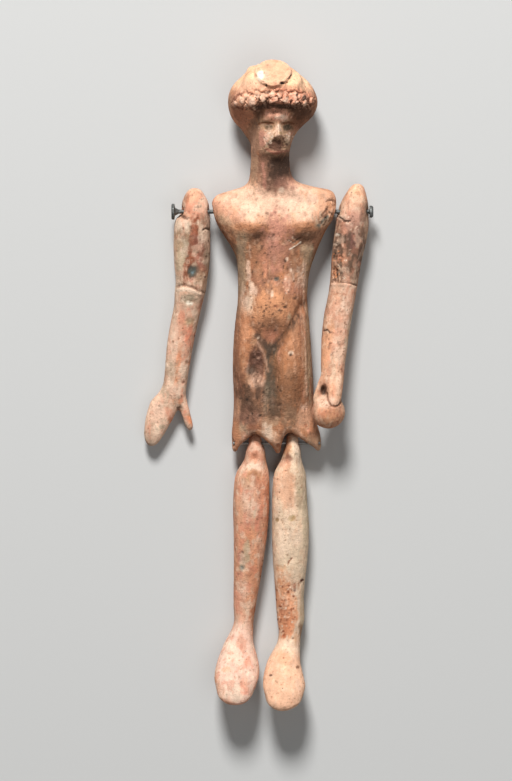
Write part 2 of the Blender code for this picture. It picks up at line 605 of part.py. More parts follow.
def build_doll():
    for old in list(bpy.data.objects):
        bpy.data.objects.remove(old, do_unlink=True)
    origin = bpy.data.objects.new("doll_origin", None)
    bpy.context.scene.collection.objects.link(origin)

    body = add_body(origin)
    right_face = -widest(BODY_STATIONS, -1) * BODY_UNIT - SHOULDER_GAP
    left_face = widest(BODY_STATIONS, 1) * BODY_UNIT + SHOULDER_GAP
    right_arm = add_arm("right_arm", RIGHT_ARM_STATIONS, origin, right_face, RIGHT_THUMB)
    left_arm = add_arm("left_arm", LEFT_ARM_STATIONS, origin, left_face, LEFT_THUMB)
    add_round_to_arm(left_arm, "ball", BALL, origin)
    add_round_to_arm(left_arm, "palm", PALM, origin)

    middle = BODY_MIDDLE_X * BODY_UNIT
    calf_stations = [s for s in LEFT_LEG_STATIONS if s.y > ANKLE_Y]
    right_knee = middle - LEG_GAP / 2 - widest(RIGHT_LEG_STATIONS, 1) * LEG_UNIT
    left_knee = middle + LEG_GAP / 2 + widest(calf_stations, -1) * LEG_UNIT
    right_leg = add_leg("right_leg", RIGHT_LEG_STATIONS, origin, right_knee)
    left_leg = add_leg("left_leg", LEFT_LEG_STATIONS, origin, left_knee)
    cut_notch(body, "right_notch", RIGHT_NOTCH, origin, right_knee)
    cut_notch(body, "left_notch", LEFT_NOTCH, origin, left_knee)

    right_outer = right_face + smooth_rows(RIGHT_ARM_STATIONS, np.array([0.0]))[0][0] * ARM_UNIT
    left_outer = left_face + smooth_rows(LEFT_ARM_STATIONS, np.array([0.0]))[0][1] * ARM_UNIT
    rod_low = right_outer - ROD_SHOW_RIGHT - ROD_HEAD_THICKNESS
    rod_high = left_outer + ROD_SHOW_LEFT + ROD_HEAD_THICKNESS
    rod = add_rod(rod_low, rod_high, origin)
    rod_bore = ROD_DIAMETER + 2 * ROD_CLEARANCE
    drill(
        (body, right_arm, left_arm), "rod_bore", rod_bore, rod_low - DRILL_OVERRUN, rod_high + DRILL_OVERRUN,
        SHOULDER_Y * BODY_UNIT, SHOULDER_Z * BODY_UNIT, origin,
    )
    hem = smooth_rows(BODY_STATIONS, np.array([KNEE_Y]))[0]
    hem_low, hem_high = hem[0] * BODY_UNIT, hem[1] * BODY_UNIT
    wire = add_wire(hem_low + WIRE_INSET, hem_high - WIRE_INSET, origin)
    wire_bore = WIRE_DIAMETER + 2 * WIRE_CLEARANCE
    drill(
        (body, right_leg, left_leg), "wire_bore", wire_bore, hem_low - DRILL_OVERRUN, hem_high + DRILL_OVERRUN,
        KNEE_Y * BODY_UNIT, KNEE_Z * BODY_UNIT, origin,
    )

    clay = painted("terracotta", (0.62, 0.40, 0.28), 0.88)
    pale_clay = painted("pale_terracotta", (0.70, 0.52, 0.40), 0.9)
    iron = painted("rod_metal", (0.30, 0.30, 0.28), 0.55, 0.8)
    steel = painted("wire_metal", (0.45, 0.46, 0.45), 0.4, 1.0)
    finishes = {body: clay, right_arm: pale_clay, left_arm: pale_clay, right_leg: pale_clay, left_leg: pale_clay,
                rod: iron, wire: steel}
    for piece, material in finishes.items():
        piece.data.materials.append(material)
    rest_on_floor(origin, finishes)


build_doll()
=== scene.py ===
"""The look of the jointed terracotta doll: worn fired clay with slip, pigment and soil, painted shade and
highlights, and grey pins.

Each clay piece starts from its own solid, which is evened out, worked in relief and painted. The marks
stand in a front view of the doll, placed right and down from its upper left in steps of STEP millimetres.
Their rise or depth is in millimetres. Colours, strengths and raggedness are in hundredths.
"""

import math
from collections import namedtuple
from contextlib import contextmanager
from itertools import product

import bmesh
import bpy
import numpy as np
from mathutils import Matrix, Vector


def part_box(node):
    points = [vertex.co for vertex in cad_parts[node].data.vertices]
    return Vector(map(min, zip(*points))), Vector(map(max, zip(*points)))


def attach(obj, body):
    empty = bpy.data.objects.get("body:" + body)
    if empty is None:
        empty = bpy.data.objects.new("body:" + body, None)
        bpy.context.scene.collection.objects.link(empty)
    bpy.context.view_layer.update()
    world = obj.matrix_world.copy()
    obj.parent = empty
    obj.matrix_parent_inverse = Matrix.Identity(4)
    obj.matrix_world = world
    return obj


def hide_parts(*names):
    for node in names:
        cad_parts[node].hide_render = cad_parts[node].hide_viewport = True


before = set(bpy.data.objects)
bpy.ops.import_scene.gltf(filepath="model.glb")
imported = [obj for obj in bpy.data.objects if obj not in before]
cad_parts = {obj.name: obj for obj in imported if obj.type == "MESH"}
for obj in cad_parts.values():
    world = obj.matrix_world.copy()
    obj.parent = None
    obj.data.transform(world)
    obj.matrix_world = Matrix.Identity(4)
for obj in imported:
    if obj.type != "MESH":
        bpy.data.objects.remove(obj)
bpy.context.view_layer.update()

MM = 0.001
# The front view: its step and height, how steeply it looks down, and the place in it of x = MIDDLE_X, y = 0
STEP = 0.2589
VIEW_HIGH = 781
TILT = math.radians(8)
VIEW = np.array((0.0, math.sin(TILT), math.cos(TILT)))
MIDDLE_RIGHT = 272.5
MIDDLE_DOWN = 379.7
MIDDLE_X = 3.70

# The colours laid on the clay. Most are its own; some dark ones also serve for painted shade and some pale
# ones for painted highlights
CREAM = (90, 79, 69)
CHALK = (97, 93, 85)
PALE = (88, 73, 63)
PEACH = (86, 65, 52)
SALMON = (81, 55, 44)
ORANGE = (74, 49, 34)
TAN = (70, 56, 44)
RUST = (63, 40, 29)
ROSE = (74, 51, 43)
BROWN = (50, 34, 25)
# The darkest brown: soil in pits and cracks, and also painted shadow
UMBER = (36, 25, 19)
SOIL_AND_SHADE = (20, 15, 12)
ASH = (62, 55, 46)
GREIGE = (74, 66, 54)
SLATE = (33, 36, 34)
# Painted shade for the clefts between the fringe's pellets
CLEFT_SHADE = (34, 19, 14)

# Grain of the remade meshes in millimetres, and how many rounds of averaging take the facets away
BODY_VOXEL = 0.4
DRESSED_VOXEL = 0.335
LIMB_VOXEL = 0.26
ROD_VOXEL = 0.12
BODY_ROUNDS = 45
LIMB_ROUNDS = 110
ROD_ROUNDS = 4
HAIR_ROUNDS = 50
LAST_ROUNDS = 2
# How many rounds flatten a surface to find its hollows and ridges, and how deep those are, in millimetres
HOLLOW_ROUNDS = 10
HOLLOW_DEPTHS = (0.03, 0.16)
RIDGE_HEIGHTS = (0.03, 0.14)
# The unevenness of a surface made by hand: heights and sizes in millimetres, broad and fine
SWELL = 0.06
SWELL_SIZE = 5.0
RIPPLE = 0.035
RIPPLE_SIZE = 1.2
# How squarely a surface has to face the viewer to take relief and paint
RELIEF_FACING = (0.05, 0.35)
PAINT_FACING = (-0.15, 0.2)
# The paint's noise is drawn out along the doll
DRAWN_OUT = (1, 0.4, 1)

# Relief has soft dents, crisp chips and lines, and paint has dabs, streaks and mottles. A mottle shows
# where noise of its size is over its cut. Turns are in degrees.
Dent = namedtuple("Dent", "right down across along rise turn", defaults=(0,))
Chip = namedtuple("Chip", "right down across along depth turn", defaults=(0,))
Line = namedtuple("Line", "points width rise wander")
Dab = namedtuple("Dab", "right down across along colour strength ragged turn", defaults=(60, 0))
Streak = namedtuple("Streak", "points width colour strength ragged", defaults=(60,))
Mottle = namedtuple("Mottle", "size colour strength cut")
# All the marks of a piece: its own colour, mottles under and over its paint, and rows for specks.
Marks = namedtuple("Marks", "base clouds flecks relief paint specks")


def lattice(corner, seed):
    """A repeatable number from -1 to 1 for each corner of a unit lattice, from stirring its digits."""
    x, y, z = corner.T
    n = (x * 73856093) ^ (y * 19349663) ^ (z * 83492791) ^ (seed * 265443576)
    for shift, factor in ((13, 1274126177), (16, 668265263)):
        n = (n ^ (n >> shift)) * factor & 0xFFFFFFFF
    return (n >> 8 & 0xFFFF) / 32767.5 - 1


def noise(points, size, seed):
    """Soft blobs of about this size, -1 to 1."""
    place = points / size
    corner = np.floor(place).astype(np.int64)
    t = place - corner
    t = t * t * (3 - 2 * t)
    total = np.zeros(len(points))
    for step in product((0, 1), repeat=3):
        total += np.prod(np.where(step, t, 1 - t), axis=1) * lattice(corner + np.array(step), seed)
    return total


def rough(points, size, seed, octaves=3):
    """Noise with finer noise on it, about -1 to 1."""
    total = sum(noise(points, size / 2**i, seed + 17 * i) / 2**i for i in range(octaves))
    return total / 1.3


def shifts(points, size, seed):
    """Noise that moves a place right and down."""
    return np.stack([rough(points, size, seed), rough(points, size, seed + 1)], axis=1)


def ease(low, high, value):
    """A soft step from 0 at low to 1 at high."""
    t = np.clip((value - low) / (high - low), 0, 1)
    return t * t * (3 - 2 * t)


def front_view(points):
    """Where points in millimetres stand in the front view, right and down."""
    right = MIDDLE_RIGHT + (points[:, 0] - MIDDLE_X) / STEP
    down = MIDDLE_DOWN - (points[:, 1] * math.cos(TILT) - points[:, 2] * math.sin(TILT)) / STEP
    return np.stack([right, down], axis=1)


def reach(at, form):
    """How far out each place lies in an ellipse: 0 at its middle and 1 on its edge."""
    aside, below = at[:, 0] - form.right, at[:, 1] - form.down
    c, s = math.cos(math.radians(form.turn)), math.sin(math.radians(form.turn))
    return np.hypot((aside * c + below * s) / form.across, (below * c - aside * s) / form.along)


def line_distance(at, points):
    """How far each place is from a bent line, whose points are listed right, down, right, down."""
    best = np.full(len(at), np.inf)
    for x0, y0, x1, y1 in zip(points[:-2:2], points[1:-2:2], points[2::2], points[3::2]):
        dx, dy = x1 - x0, y1 - y0
        t = np.clip(((at[:, 0] - x0) * dx + (at[:, 1] - y0) * dy) / (dx * dx + dy * dy), 0, 1)
        best = np.minimum(best, np.hypot(at[:, 0] - x0 - t * dx, at[:, 1] - y0 - t * dy))
    return best


def specks(right, down, across, along, count, size, colour, seed):
    """Small round dabs strewn over an ellipse."""
    rng = np.random.default_rng(seed)
    dabs = []
    for _ in range(count):
        turn, out = rng.uniform(0, 2 * math.pi), math.sqrt(rng.uniform(0, 1))
        x, y = right + across * out * math.cos(turn), down + along * out * math.sin(turn)
        wide, tall = size * rng.uniform(0.6, 1.3, 2)
        dabs.append(Dab(x, y, wide, tall, colour, rng.uniform(40, 95), 30))
    return dabs


def rows_of(items, key, width, kind=float):
    """One attribute of a mesh's vertices or edges, a row for each."""
    flat = np.empty(len(items) * width, kind)
    items.foreach_get(key, flat)
    return flat.reshape(-1, width)


def mesh_points(mesh):
    return rows_of(mesh.vertices, "co", 3) / MM


def mesh_normals(mesh):
    return rows_of(mesh.vertex_normals, "vector", 3)


def mesh_edges(mesh):
    return rows_of(mesh.edges, "vertices", 2, np.int32)


def move_mesh(mesh, points):
    mesh.vertices.foreach_set("co", (points * MM).ravel())
    mesh.update()


def averaged(values, edges, share, rounds):
    """Values drawn towards their neighbours' mean, a few rounds over."""
    a, b = edges.T
    size = len(values)
    count = np.maximum(np.bincount(edges.ravel(), minlength=size), 1)[:, None]
    for _ in range(rounds):
        total = np.stack(
            [np.bincount(a, values[b, k], size) + np.bincount(b, values[a, k], size) for k in range(3)], 1
        )
        values = values + 0.5 * share[:, None] * (total / count - values)
    return values


def evened(points, edges, rounds):
    """Facets smoothed away, with what the smoothing shrinks given back."""
    share = np.ones(len(points))
    smooth = averaged(points, edges, share, rounds)
    return smooth + averaged(points - smooth, edges, share, rounds)


@contextmanager
def editing(mesh, source=None):
    """A mesh open for editing, or filled from another and edited, and closed again at the end."""
    bm = bmesh.new()
    bm.from_mesh(mesh if source is None else source)
    yield bm
    bm.to_mesh(mesh)
    bm.free()


def add_object(name, data):
    thing = bpy.data.objects.new(name, data)
    bpy.context.scene.collection.objects.link(thing)
    return thing


def remesh(piece, voxel):
    """Makes one even skin over all the shapes in a piece."""
    modifier = piece.modifiers.new("voxels", "REMESH")
    modifier.mode = "VOXEL"
    modifier.voxel_size = voxel * MM
    graph = bpy.context.evaluated_depsgraph_get()
    made = bpy.data.meshes.new_from_object(piece.evaluated_get(graph))
    piece.modifiers.clear()
    old = piece.data
    piece.data = made
    bpy.data.meshes.remove(old)
    made.shade_smooth()


def evened_copy(node, voxel, rounds):
    """A fine smooth copy of a solid."""
    name = f"dressed_{node}"
    mesh = bpy.data.meshes.new(name)
    with editing(mesh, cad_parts[node].data) as bm:
        bmesh.ops.remove_doubles(bm, verts=bm.verts, dist=1e-6)
    piece = add_object(name, mesh)
    remesh(piece, voxel)
    move_mesh(piece.data, evened(mesh_points(piece.data), mesh_edges(piece.data), rounds))
    return piece


# The pellets of the fringe. Its rows are (down, first, last, how many, radius), and the larger lumps at the
# viewer's left are (right, down, radius).
FRINGE_ROWS = ((96.8, 264, 305, 9, 3.2), (102.0, 270, 310, 9, 3.1), (105.6, 284, 310, 6, 2.3))
FRINGE_LUMPS = (
    (240.5, 103.0, 5.0), (235, 105, 2.8), (246.5, 97.8, 3.4), (252, 103.4, 5.4), (257, 96.8, 3.4),
    (246.5, 107.4, 2.6), (255.2, 109.4, 2.2), (262, 101.6, 3.4), (264.5, 106, 2.2), (311.5, 102, 2.4),
)
FRINGE_MIDDLE = 280
FRINGE_SAG = 0.003
FRINGE_SHIFT = 1.6
FRINGE_DROP = 1.4
FRINGE_BEND = 2.6
FRINGE_RISE = 0.58
FRINGE_CRUMBS = 0.22
FRINGE_GAP = 0.26
# Lumps of hair as x, y, z and radii, in millimetres. The last fills the hair up to the edge of the disc.
HAIR_LUMPS = (
    (-1.5, 81.7, 10.3, 1.7, 1.6, 1.9), (-0.2, 84.1, 11.8, 0.7, 0.6, 0.8), (3.7, 77.1, 16.2, 6.5, 2.6, 2.6),
)
# Over which y and z the smoothing of the hair sets in
HAIR_UP = (75.5, 78.0)
HAIR_FORWARD = (9.0, 11.0)
# The disc, its profile as height and share of the radius, and the low mound under it with the same tilt
DISC_CENTRE = Vector((3.86, 81.66, 15.66))
DISC_RADIUS = 4.72
DISC_SIDES = 96
DISC_TURN = Matrix.Rotation(math.radians(-53), 3, "X")
DISC_PROFILE = ((-1.1, 0.86), (-0.3, 0.95), (0.3, 0.99), (0.66, 1.0), (0.86, 0.965), (0.95, 0.9))
MOUND_DROP = 2.2
MOUND_RADII = (8.0, 4.8, 2.9)
# The box around the face that gets finer faces
FACE_LOW = (-8.5, 59.0, 9.0)
FACE_HIGH = (16.0, 79.5, 25.0)


def fringe_spots():
    """Every pellet of the fringe as right, down and radius."""
    rng = np.random.default_rng(11)
    spots = []
    for down, first, last, count, radius in FRINGE_ROWS:
        for i in range(count):
            right = first + (last - first) * i / (count - 1) + rng.uniform(-FRINGE_SHIFT, FRINGE_SHIFT)
            sag = FRINGE_SAG * (right - FRINGE_MIDDLE) ** 2 + rng.uniform(-FRINGE_DROP, FRINGE_DROP)
            spots.append((right, down + sag, radius * rng.uniform(0.7, 1.2)))
    return spots + list(FRINGE_LUMPS)


def fringe_dome(at, points):
    """How high each place stands on its pellet, from 0 to 1, and how deep it lies in a cleft."""
    at = at + FRINGE_BEND * shifts(points, 0.8, 71)
    dome, near = np.zeros(len(at)), np.zeros(len(at))
    for right, down, radius in fringe_spots():
        away = np.hypot(at[:, 0] - right, at[:, 1] - down) / radius
        dome = np.maximum(dome, np.sqrt(np.clip(1 - away**2, 0, 1)) * min(1, radius / 3))
        near = np.maximum(near, ease(1.9, 1.1, away))
    return dome, near * ease(0.35, 0.0, dome)


def add_hair(piece):
    """Lumps and a mound that melt into the hair."""
    with editing(piece.data) as bm:
        for x, y, z, *radii in HAIR_LUMPS:
            lump = Matrix.LocRotScale(Vector((x, y, z)) * MM, None, Vector(radii) * MM)
            bmesh.ops.create_icosphere(bm, subdivisions=4, radius=1, matrix=lump)
        under = DISC_CENTRE - DISC_TURN @ Vector((0, 0, MOUND_DROP))
        mound = Matrix.LocRotScale(under * MM, DISC_TURN, Vector(MOUND_RADII) * MM)
        bmesh.ops.create_icosphere(bm, subdivisions=5, radius=1, matrix=mound)
    remesh(piece, BODY_VOXEL)
    points = mesh_points(piece.data)
    share = ease(*HAIR_UP, points[:, 1]) * ease(*HAIR_FORWARD, points[:, 2])
    move_mesh(piece.data, averaged(points, mesh_edges(piece.data), share, HAIR_ROUNDS))


def add_disc(piece):
    """The disc on the hair, closed above and below."""
    place = Matrix.LocRotScale(DISC_CENTRE * MM, DISC_TURN, Vector((1, 1, 1)))
    angles = [2 * math.pi * i / DISC_SIDES for i in range(DISC_SIDES)]
    with editing(piece.data) as bm:
        rings = []
        for z, share in DISC_PROFILE:
            ring = [Vector((math.cos(a), math.sin(a), 0)) * share * DISC_RADIUS for a in angles]
            rings.append([bm.verts.new(place @ ((p + Vector((0, 0, z))) * MM)) for p in ring])
        for low, high in zip(rings[:-1], rings[1:]):
            for i in range(DISC_SIDES):
                j = (i + 1) % DISC_SIDES
                bm.faces.new((low[i], low[j], high[j], high[i]))
        bm.faces.new(list(reversed(rings[0])))
        bm.faces.new(rings[-1])


def refine(piece, low, high):
    """Halves the faces inside a box given in millimetres."""
    with editing(piece.data) as bm:
        inside = []
        for face in bm.faces:
            c = face.calc_center_median() / MM
            if all(a < v < b for a, v, b in zip(low, c, high)):
                inside.append(face)
        edges = {e for f in inside for e in f.edges}
        bmesh.ops.subdivide_edges(bm, edges=list(edges), cuts=1, use_grid_fill=True, smooth=0.0)
        bmesh.ops.triangulate(bm, faces=[f for f in bm.faces if len(f.verts) > 4])
    piece.data.shade_smooth()


def relief(points, normals, forms, seed, fringe):
    """Works dents, mounds, chips and cracks into the front, and a hand-made unevenness all over.

    Each noise has its own seed, and marks fade where the surface turns away from the front.
    """
    at = front_view(points)
    facing = ease(*RELIEF_FACING, normals @ VIEW)
    wander = shifts(points, 1.6, seed + 5)
    crumbs = rough(points, 0.8, seed + 9)
    lift = np.zeros(len(points))
    push = SWELL * rough(points, SWELL_SIZE, seed) + RIPPLE * rough(points, RIPPLE_SIZE, seed + 1, 4)
    for form in forms:
        if isinstance(form, Dent):
            lift += facing * form.rise * np.exp(-(reach(at, form) ** 2))
        elif isinstance(form, Chip):
            edge = reach(at, form) + 0.45 * wander[:, 0] + 0.25 * crumbs
            push -= facing * form.depth * ease(1.10, 0.70, edge) * (0.8 + 0.9 * crumbs)
        else:
            away = line_distance(at + form.wander * wander, form.points)
            push += facing * form.rise * np.exp(-((away / form.width) ** 2))
    if fringe:
        dome, gap = fringe_dome(at, points)
        push += facing * (FRINGE_RISE * dome - FRINGE_GAP * gap + FRINGE_CRUMBS * dome * crumbs)
    return points + lift[:, None] * VIEW + push[:, None] * normals


def linear(colours):
    """Colours as the eye steps them, turned into amounts of light."""
    bright = ((np.clip(colours, 0, 1) + 0.055) / 1.055) ** 2.4
    return np.where(colours <= 0.04045, colours / 12.92, bright)


def paint(points, normals, marks, hollow, seed, fringe):
    """Each point's colour: the clay's own, clouds, dabs and streaks, flecks, painted shade and highlights
    on the fringe, darker hollows and a painted highlight on ridges.
    """
    at = front_view(points)
    facing = ease(*PAINT_FACING, normals @ VIEW)
    drawn = points * DRAWN_OUT
    wobble = rough(drawn, 1.5, seed + 31)
    stray = shifts(points, 1.2, seed + 33)
    finer = rough(drawn, 0.5, seed + 32, 2)
    colours = np.tile(np.array(marks.base) / 100, (len(points), 1))

    def lay(weight, colour):
        colours[:] += weight[:, None] * (np.array(colour) / 100 - colours)

    for i, mottle in enumerate(map(Mottle._make, marks.clouds)):
        cloud = rough(drawn, mottle.size, seed + 40 + i, 4)
        lay(mottle.strength / 100 * ease(mottle.cut - 0.2, mottle.cut + 0.25, cloud), mottle.colour)
    for row in (*marks.paint, *(dab for strewn in marks.specks for dab in specks(*strewn))):
        form = row if isinstance(row, Streak) else Dab(*row)
        ragged = form.ragged / 100
        if isinstance(form, Dab):
            away = reach(at, form)
        else:
            away = line_distance(at + 0.8 * ragged * stray, form.points) / form.width
        away = away + ragged * (0.9 * wobble + 0.9 * finer)
        span = 0.15 + 0.55 * ragged
        lay(facing * (form.strength / 100) * ease(1 + span, 1 - span, away), form.colour)
    for i, mottle in enumerate(map(Mottle._make, marks.flecks)):
        cloud = rough(points * (1, 0.75, 1), mottle.size, seed + 50 + i, 4)
        lay(mottle.strength / 100 * ease(mottle.cut - 0.08, mottle.cut + 0.14, cloud), mottle.colour)
    if fringe:
        dome, gap = fringe_dome(at, points)
        # Painted shade in the clefts between the fringe's pellets, and a painted highlight on their tops
        lay(facing * 0.5 * ease(0.1, 0.7, gap) * ease(-0.5, 0.3, wobble + 0.08 * (at[:, 1] - 97)), CLEFT_SHADE)
        lay(facing * 0.8 * ease(0.45, 0.85, dome) * ease(-0.3, 0.3, finer), PALE)
    # Darker in the hollows, and paler on the ridges as a painted highlight
    lay(0.6 * ease(*HOLLOW_DEPTHS, -hollow), UMBER)
    lay(0.30 * ease(*RIDGE_HEIGHTS, hollow), PALE)
    grain = 1 + 0.07 * rough(points * (1, 0.3, 1), 0.7, seed + 61)
    colours *= (grain + 0.05 * rough(points, 2.2, seed + 62))[:, None]
    return np.hstack([linear(colours), np.ones((len(points), 1))])


def boxed(points, node):
    """Points kept inside the box of their solid."""
    low, high = (np.array(c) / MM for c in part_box(node))
    return np.clip(points, low, high)


def dress(piece, node, material):
    """Gives a piece its material and puts it in the place of its solid."""
    piece.data.materials.clear()
    piece.data.materials.append(material)
    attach(piece, "root")
    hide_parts(node)


def finish_clay(piece, node, material, marks, seed, fringe=False):
    """Relief, paint and material for one evened piece, kept inside its solid's own box."""
    mesh = piece.data
    edges = mesh_edges(mesh)
    points = evened(mesh_points(mesh), edges, LAST_ROUNDS)
    move_mesh(mesh, points)
    points = boxed(relief(points, mesh_normals(mesh), marks.relief, seed, fringe), node)
    move_mesh(mesh, points)
    normals = mesh_normals(mesh)
    hollow = ((points - averaged(points, edges, np.ones(len(points)), HOLLOW_ROUNDS)) * normals).sum(axis=1)
    values = paint(points, normals, marks, hollow, seed, fringe)
    layer = mesh.color_attributes.new("paint", "FLOAT_COLOR", "POINT")
    layer.data.foreach_set("color", values.astype(np.float32).ravel())
    dress(piece, node, material)


class Graph:
    """A new material with short ways to make and wire its nodes."""

    def __init__(self, name, **shader):
        self.material = bpy.data.materials.new(name)
        self.material.use_nodes = True
        self.tree = self.material.node_tree
        self.shader = self.tree.nodes["Principled BSDF"]
        self.fill(self.shader, **shader)

    def put(self, socket, value):
        """Links an output to a socket, or sets it to a value."""
        if isinstance(value, bpy.types.NodeSocket):
            self.tree.links.new(value, socket)
        else:
            socket.default_value = value

    def fill(self, node, **inputs):
        """Puts values into named inputs, with _ for a space."""
        for key, value in inputs.items():
            self.put(node.inputs[key.replace("_", " ")], value)

    def node(self, kind, **inputs):
        made = self.tree.nodes.new("ShaderNode" + kind)
        self.fill(made, **inputs)
        return made

    def place(self):
        return self.node("TexCoord").outputs["Object"]

    def noise(self, scale, detail, roughness):
        made = self.node("TexNoise", Vector=self.place(), Scale=scale, Detail=detail, Roughness=roughness)
        return made.outputs["Fac"]

    def ranged(self, value, low, high, to_low, to_high):
        made = self.node("MapRange", Value=value, From_Min=low, From_Max=high)
        self.fill(made, To_Min=to_low, To_Max=to_high)
        return made.outputs["Result"]

    def math(self, operation, first, second):
        made = self.node("Math")
        made.operation = operation
        self.put(made.inputs[0], first)
        self.put(made.inputs[1], second)
        return made.outputs[0]

    def mix(self, blend, share, first, second):
        """Mixes two colours. Their sockets share names with number ones, so they are picked by type."""
        made = self.node("Mix")
        made.data_type = "RGBA"
        made.blend_type = blend
        lower, upper = (s for s in made.inputs if s.type == "RGBA")
        for socket, value in ((made.inputs["Factor"], share), (lower, first), (upper, second)):
            self.put(socket, value)
        return next(s for s in made.outputs if s.type == "RGBA")

    def bump(self, height, strength, distance):
        made = self.node("Bump", Height=height, Strength=strength, Distance=distance)
        self.fill(self.shader, Normal=made.outputs["Normal"])


# Noise scales of the clay's grain and pits, in cells per metre
FINE_GRAIN = 2800.0
MIDDLE_GRAIN = 800.0
PITS = 620.0
PIT_COLOUR = (0.12, 0.07, 0.05, 1.0)
# How deep the bumps of the materials look, in metres
CLAY_BUMP = 0.3 * MM
METAL_BUMP = 0.1 * MM


def clay_material(name, pit_share, grit, bump):
    """Painted clay with fine grain, small pits and a dusty surface."""
    graph = Graph(name, Roughness=0.88, Specular_IOR_Level=0.25)
    own = graph.node("Attribute")
    own.attribute_name = "paint"
    fine = graph.noise(FINE_GRAIN, 3.0, 0.6)
    middle = graph.noise(MIDDLE_GRAIN, 3.0, 0.55)
    cells = graph.node("TexVoronoi", Vector=graph.place(), Scale=PITS)
    split = graph.node("SeparateColor", Color=cells.outputs["Color"])
    chosen = graph.math("GREATER_THAN", split.outputs["Red"], 1.0 - pit_share)
    size = graph.ranged(split.outputs["Green"], 0.0, 1.0, 0.03, 0.13)
    pit = graph.math("MULTIPLY", chosen, graph.math("LESS_THAN", cells.outputs["Distance"], size))
    shade = graph.ranged(fine, 0.25, 0.75, 1 - grit, 1 + 0.8 * grit)
    tone = graph.ranged(middle, 0.25, 0.75, 1 - 0.6 * grit, 1 + 0.5 * grit)
    grained = graph.mix("MULTIPLY", 1.0, own.outputs["Color"], graph.math("MULTIPLY", shade, tone))
    pitted = graph.mix("MIX", graph.math("MULTIPLY", pit, 0.7), grained, PIT_COLOUR)
    graph.fill(graph.shader, Base_Color=pitted)
    height = graph.math("ADD", fine, graph.math("MULTIPLY", middle, 1.4))
    height = graph.math("SUBTRACT", height, graph.math("MULTIPLY", pit, 0.9))
    graph.bump(height, bump, CLAY_BUMP)
    return graph.material


def metal_material(name, light, dark, metallic, roughness):
    """Grey metal with dull corroded patches."""
    graph = Graph(name, Roughness=roughness, Metallic=metallic)
    patches = graph.noise(900.0, 4.0, 0.65)
    ramp = graph.node("ValToRGB", Fac=patches)
    for stop, place, grey in zip(ramp.color_ramp.elements, (0.38, 0.62), (dark, light)):
        stop.position = place
        stop.color = (*grey, 1)
    graph.fill(graph.shader, Base_Color=ramp.outputs["Color"])
    graph.bump(patches, 0.5, METAL_BUMP)
    return graph.material


# The marks on each piece. A bare row of paint is a dab.

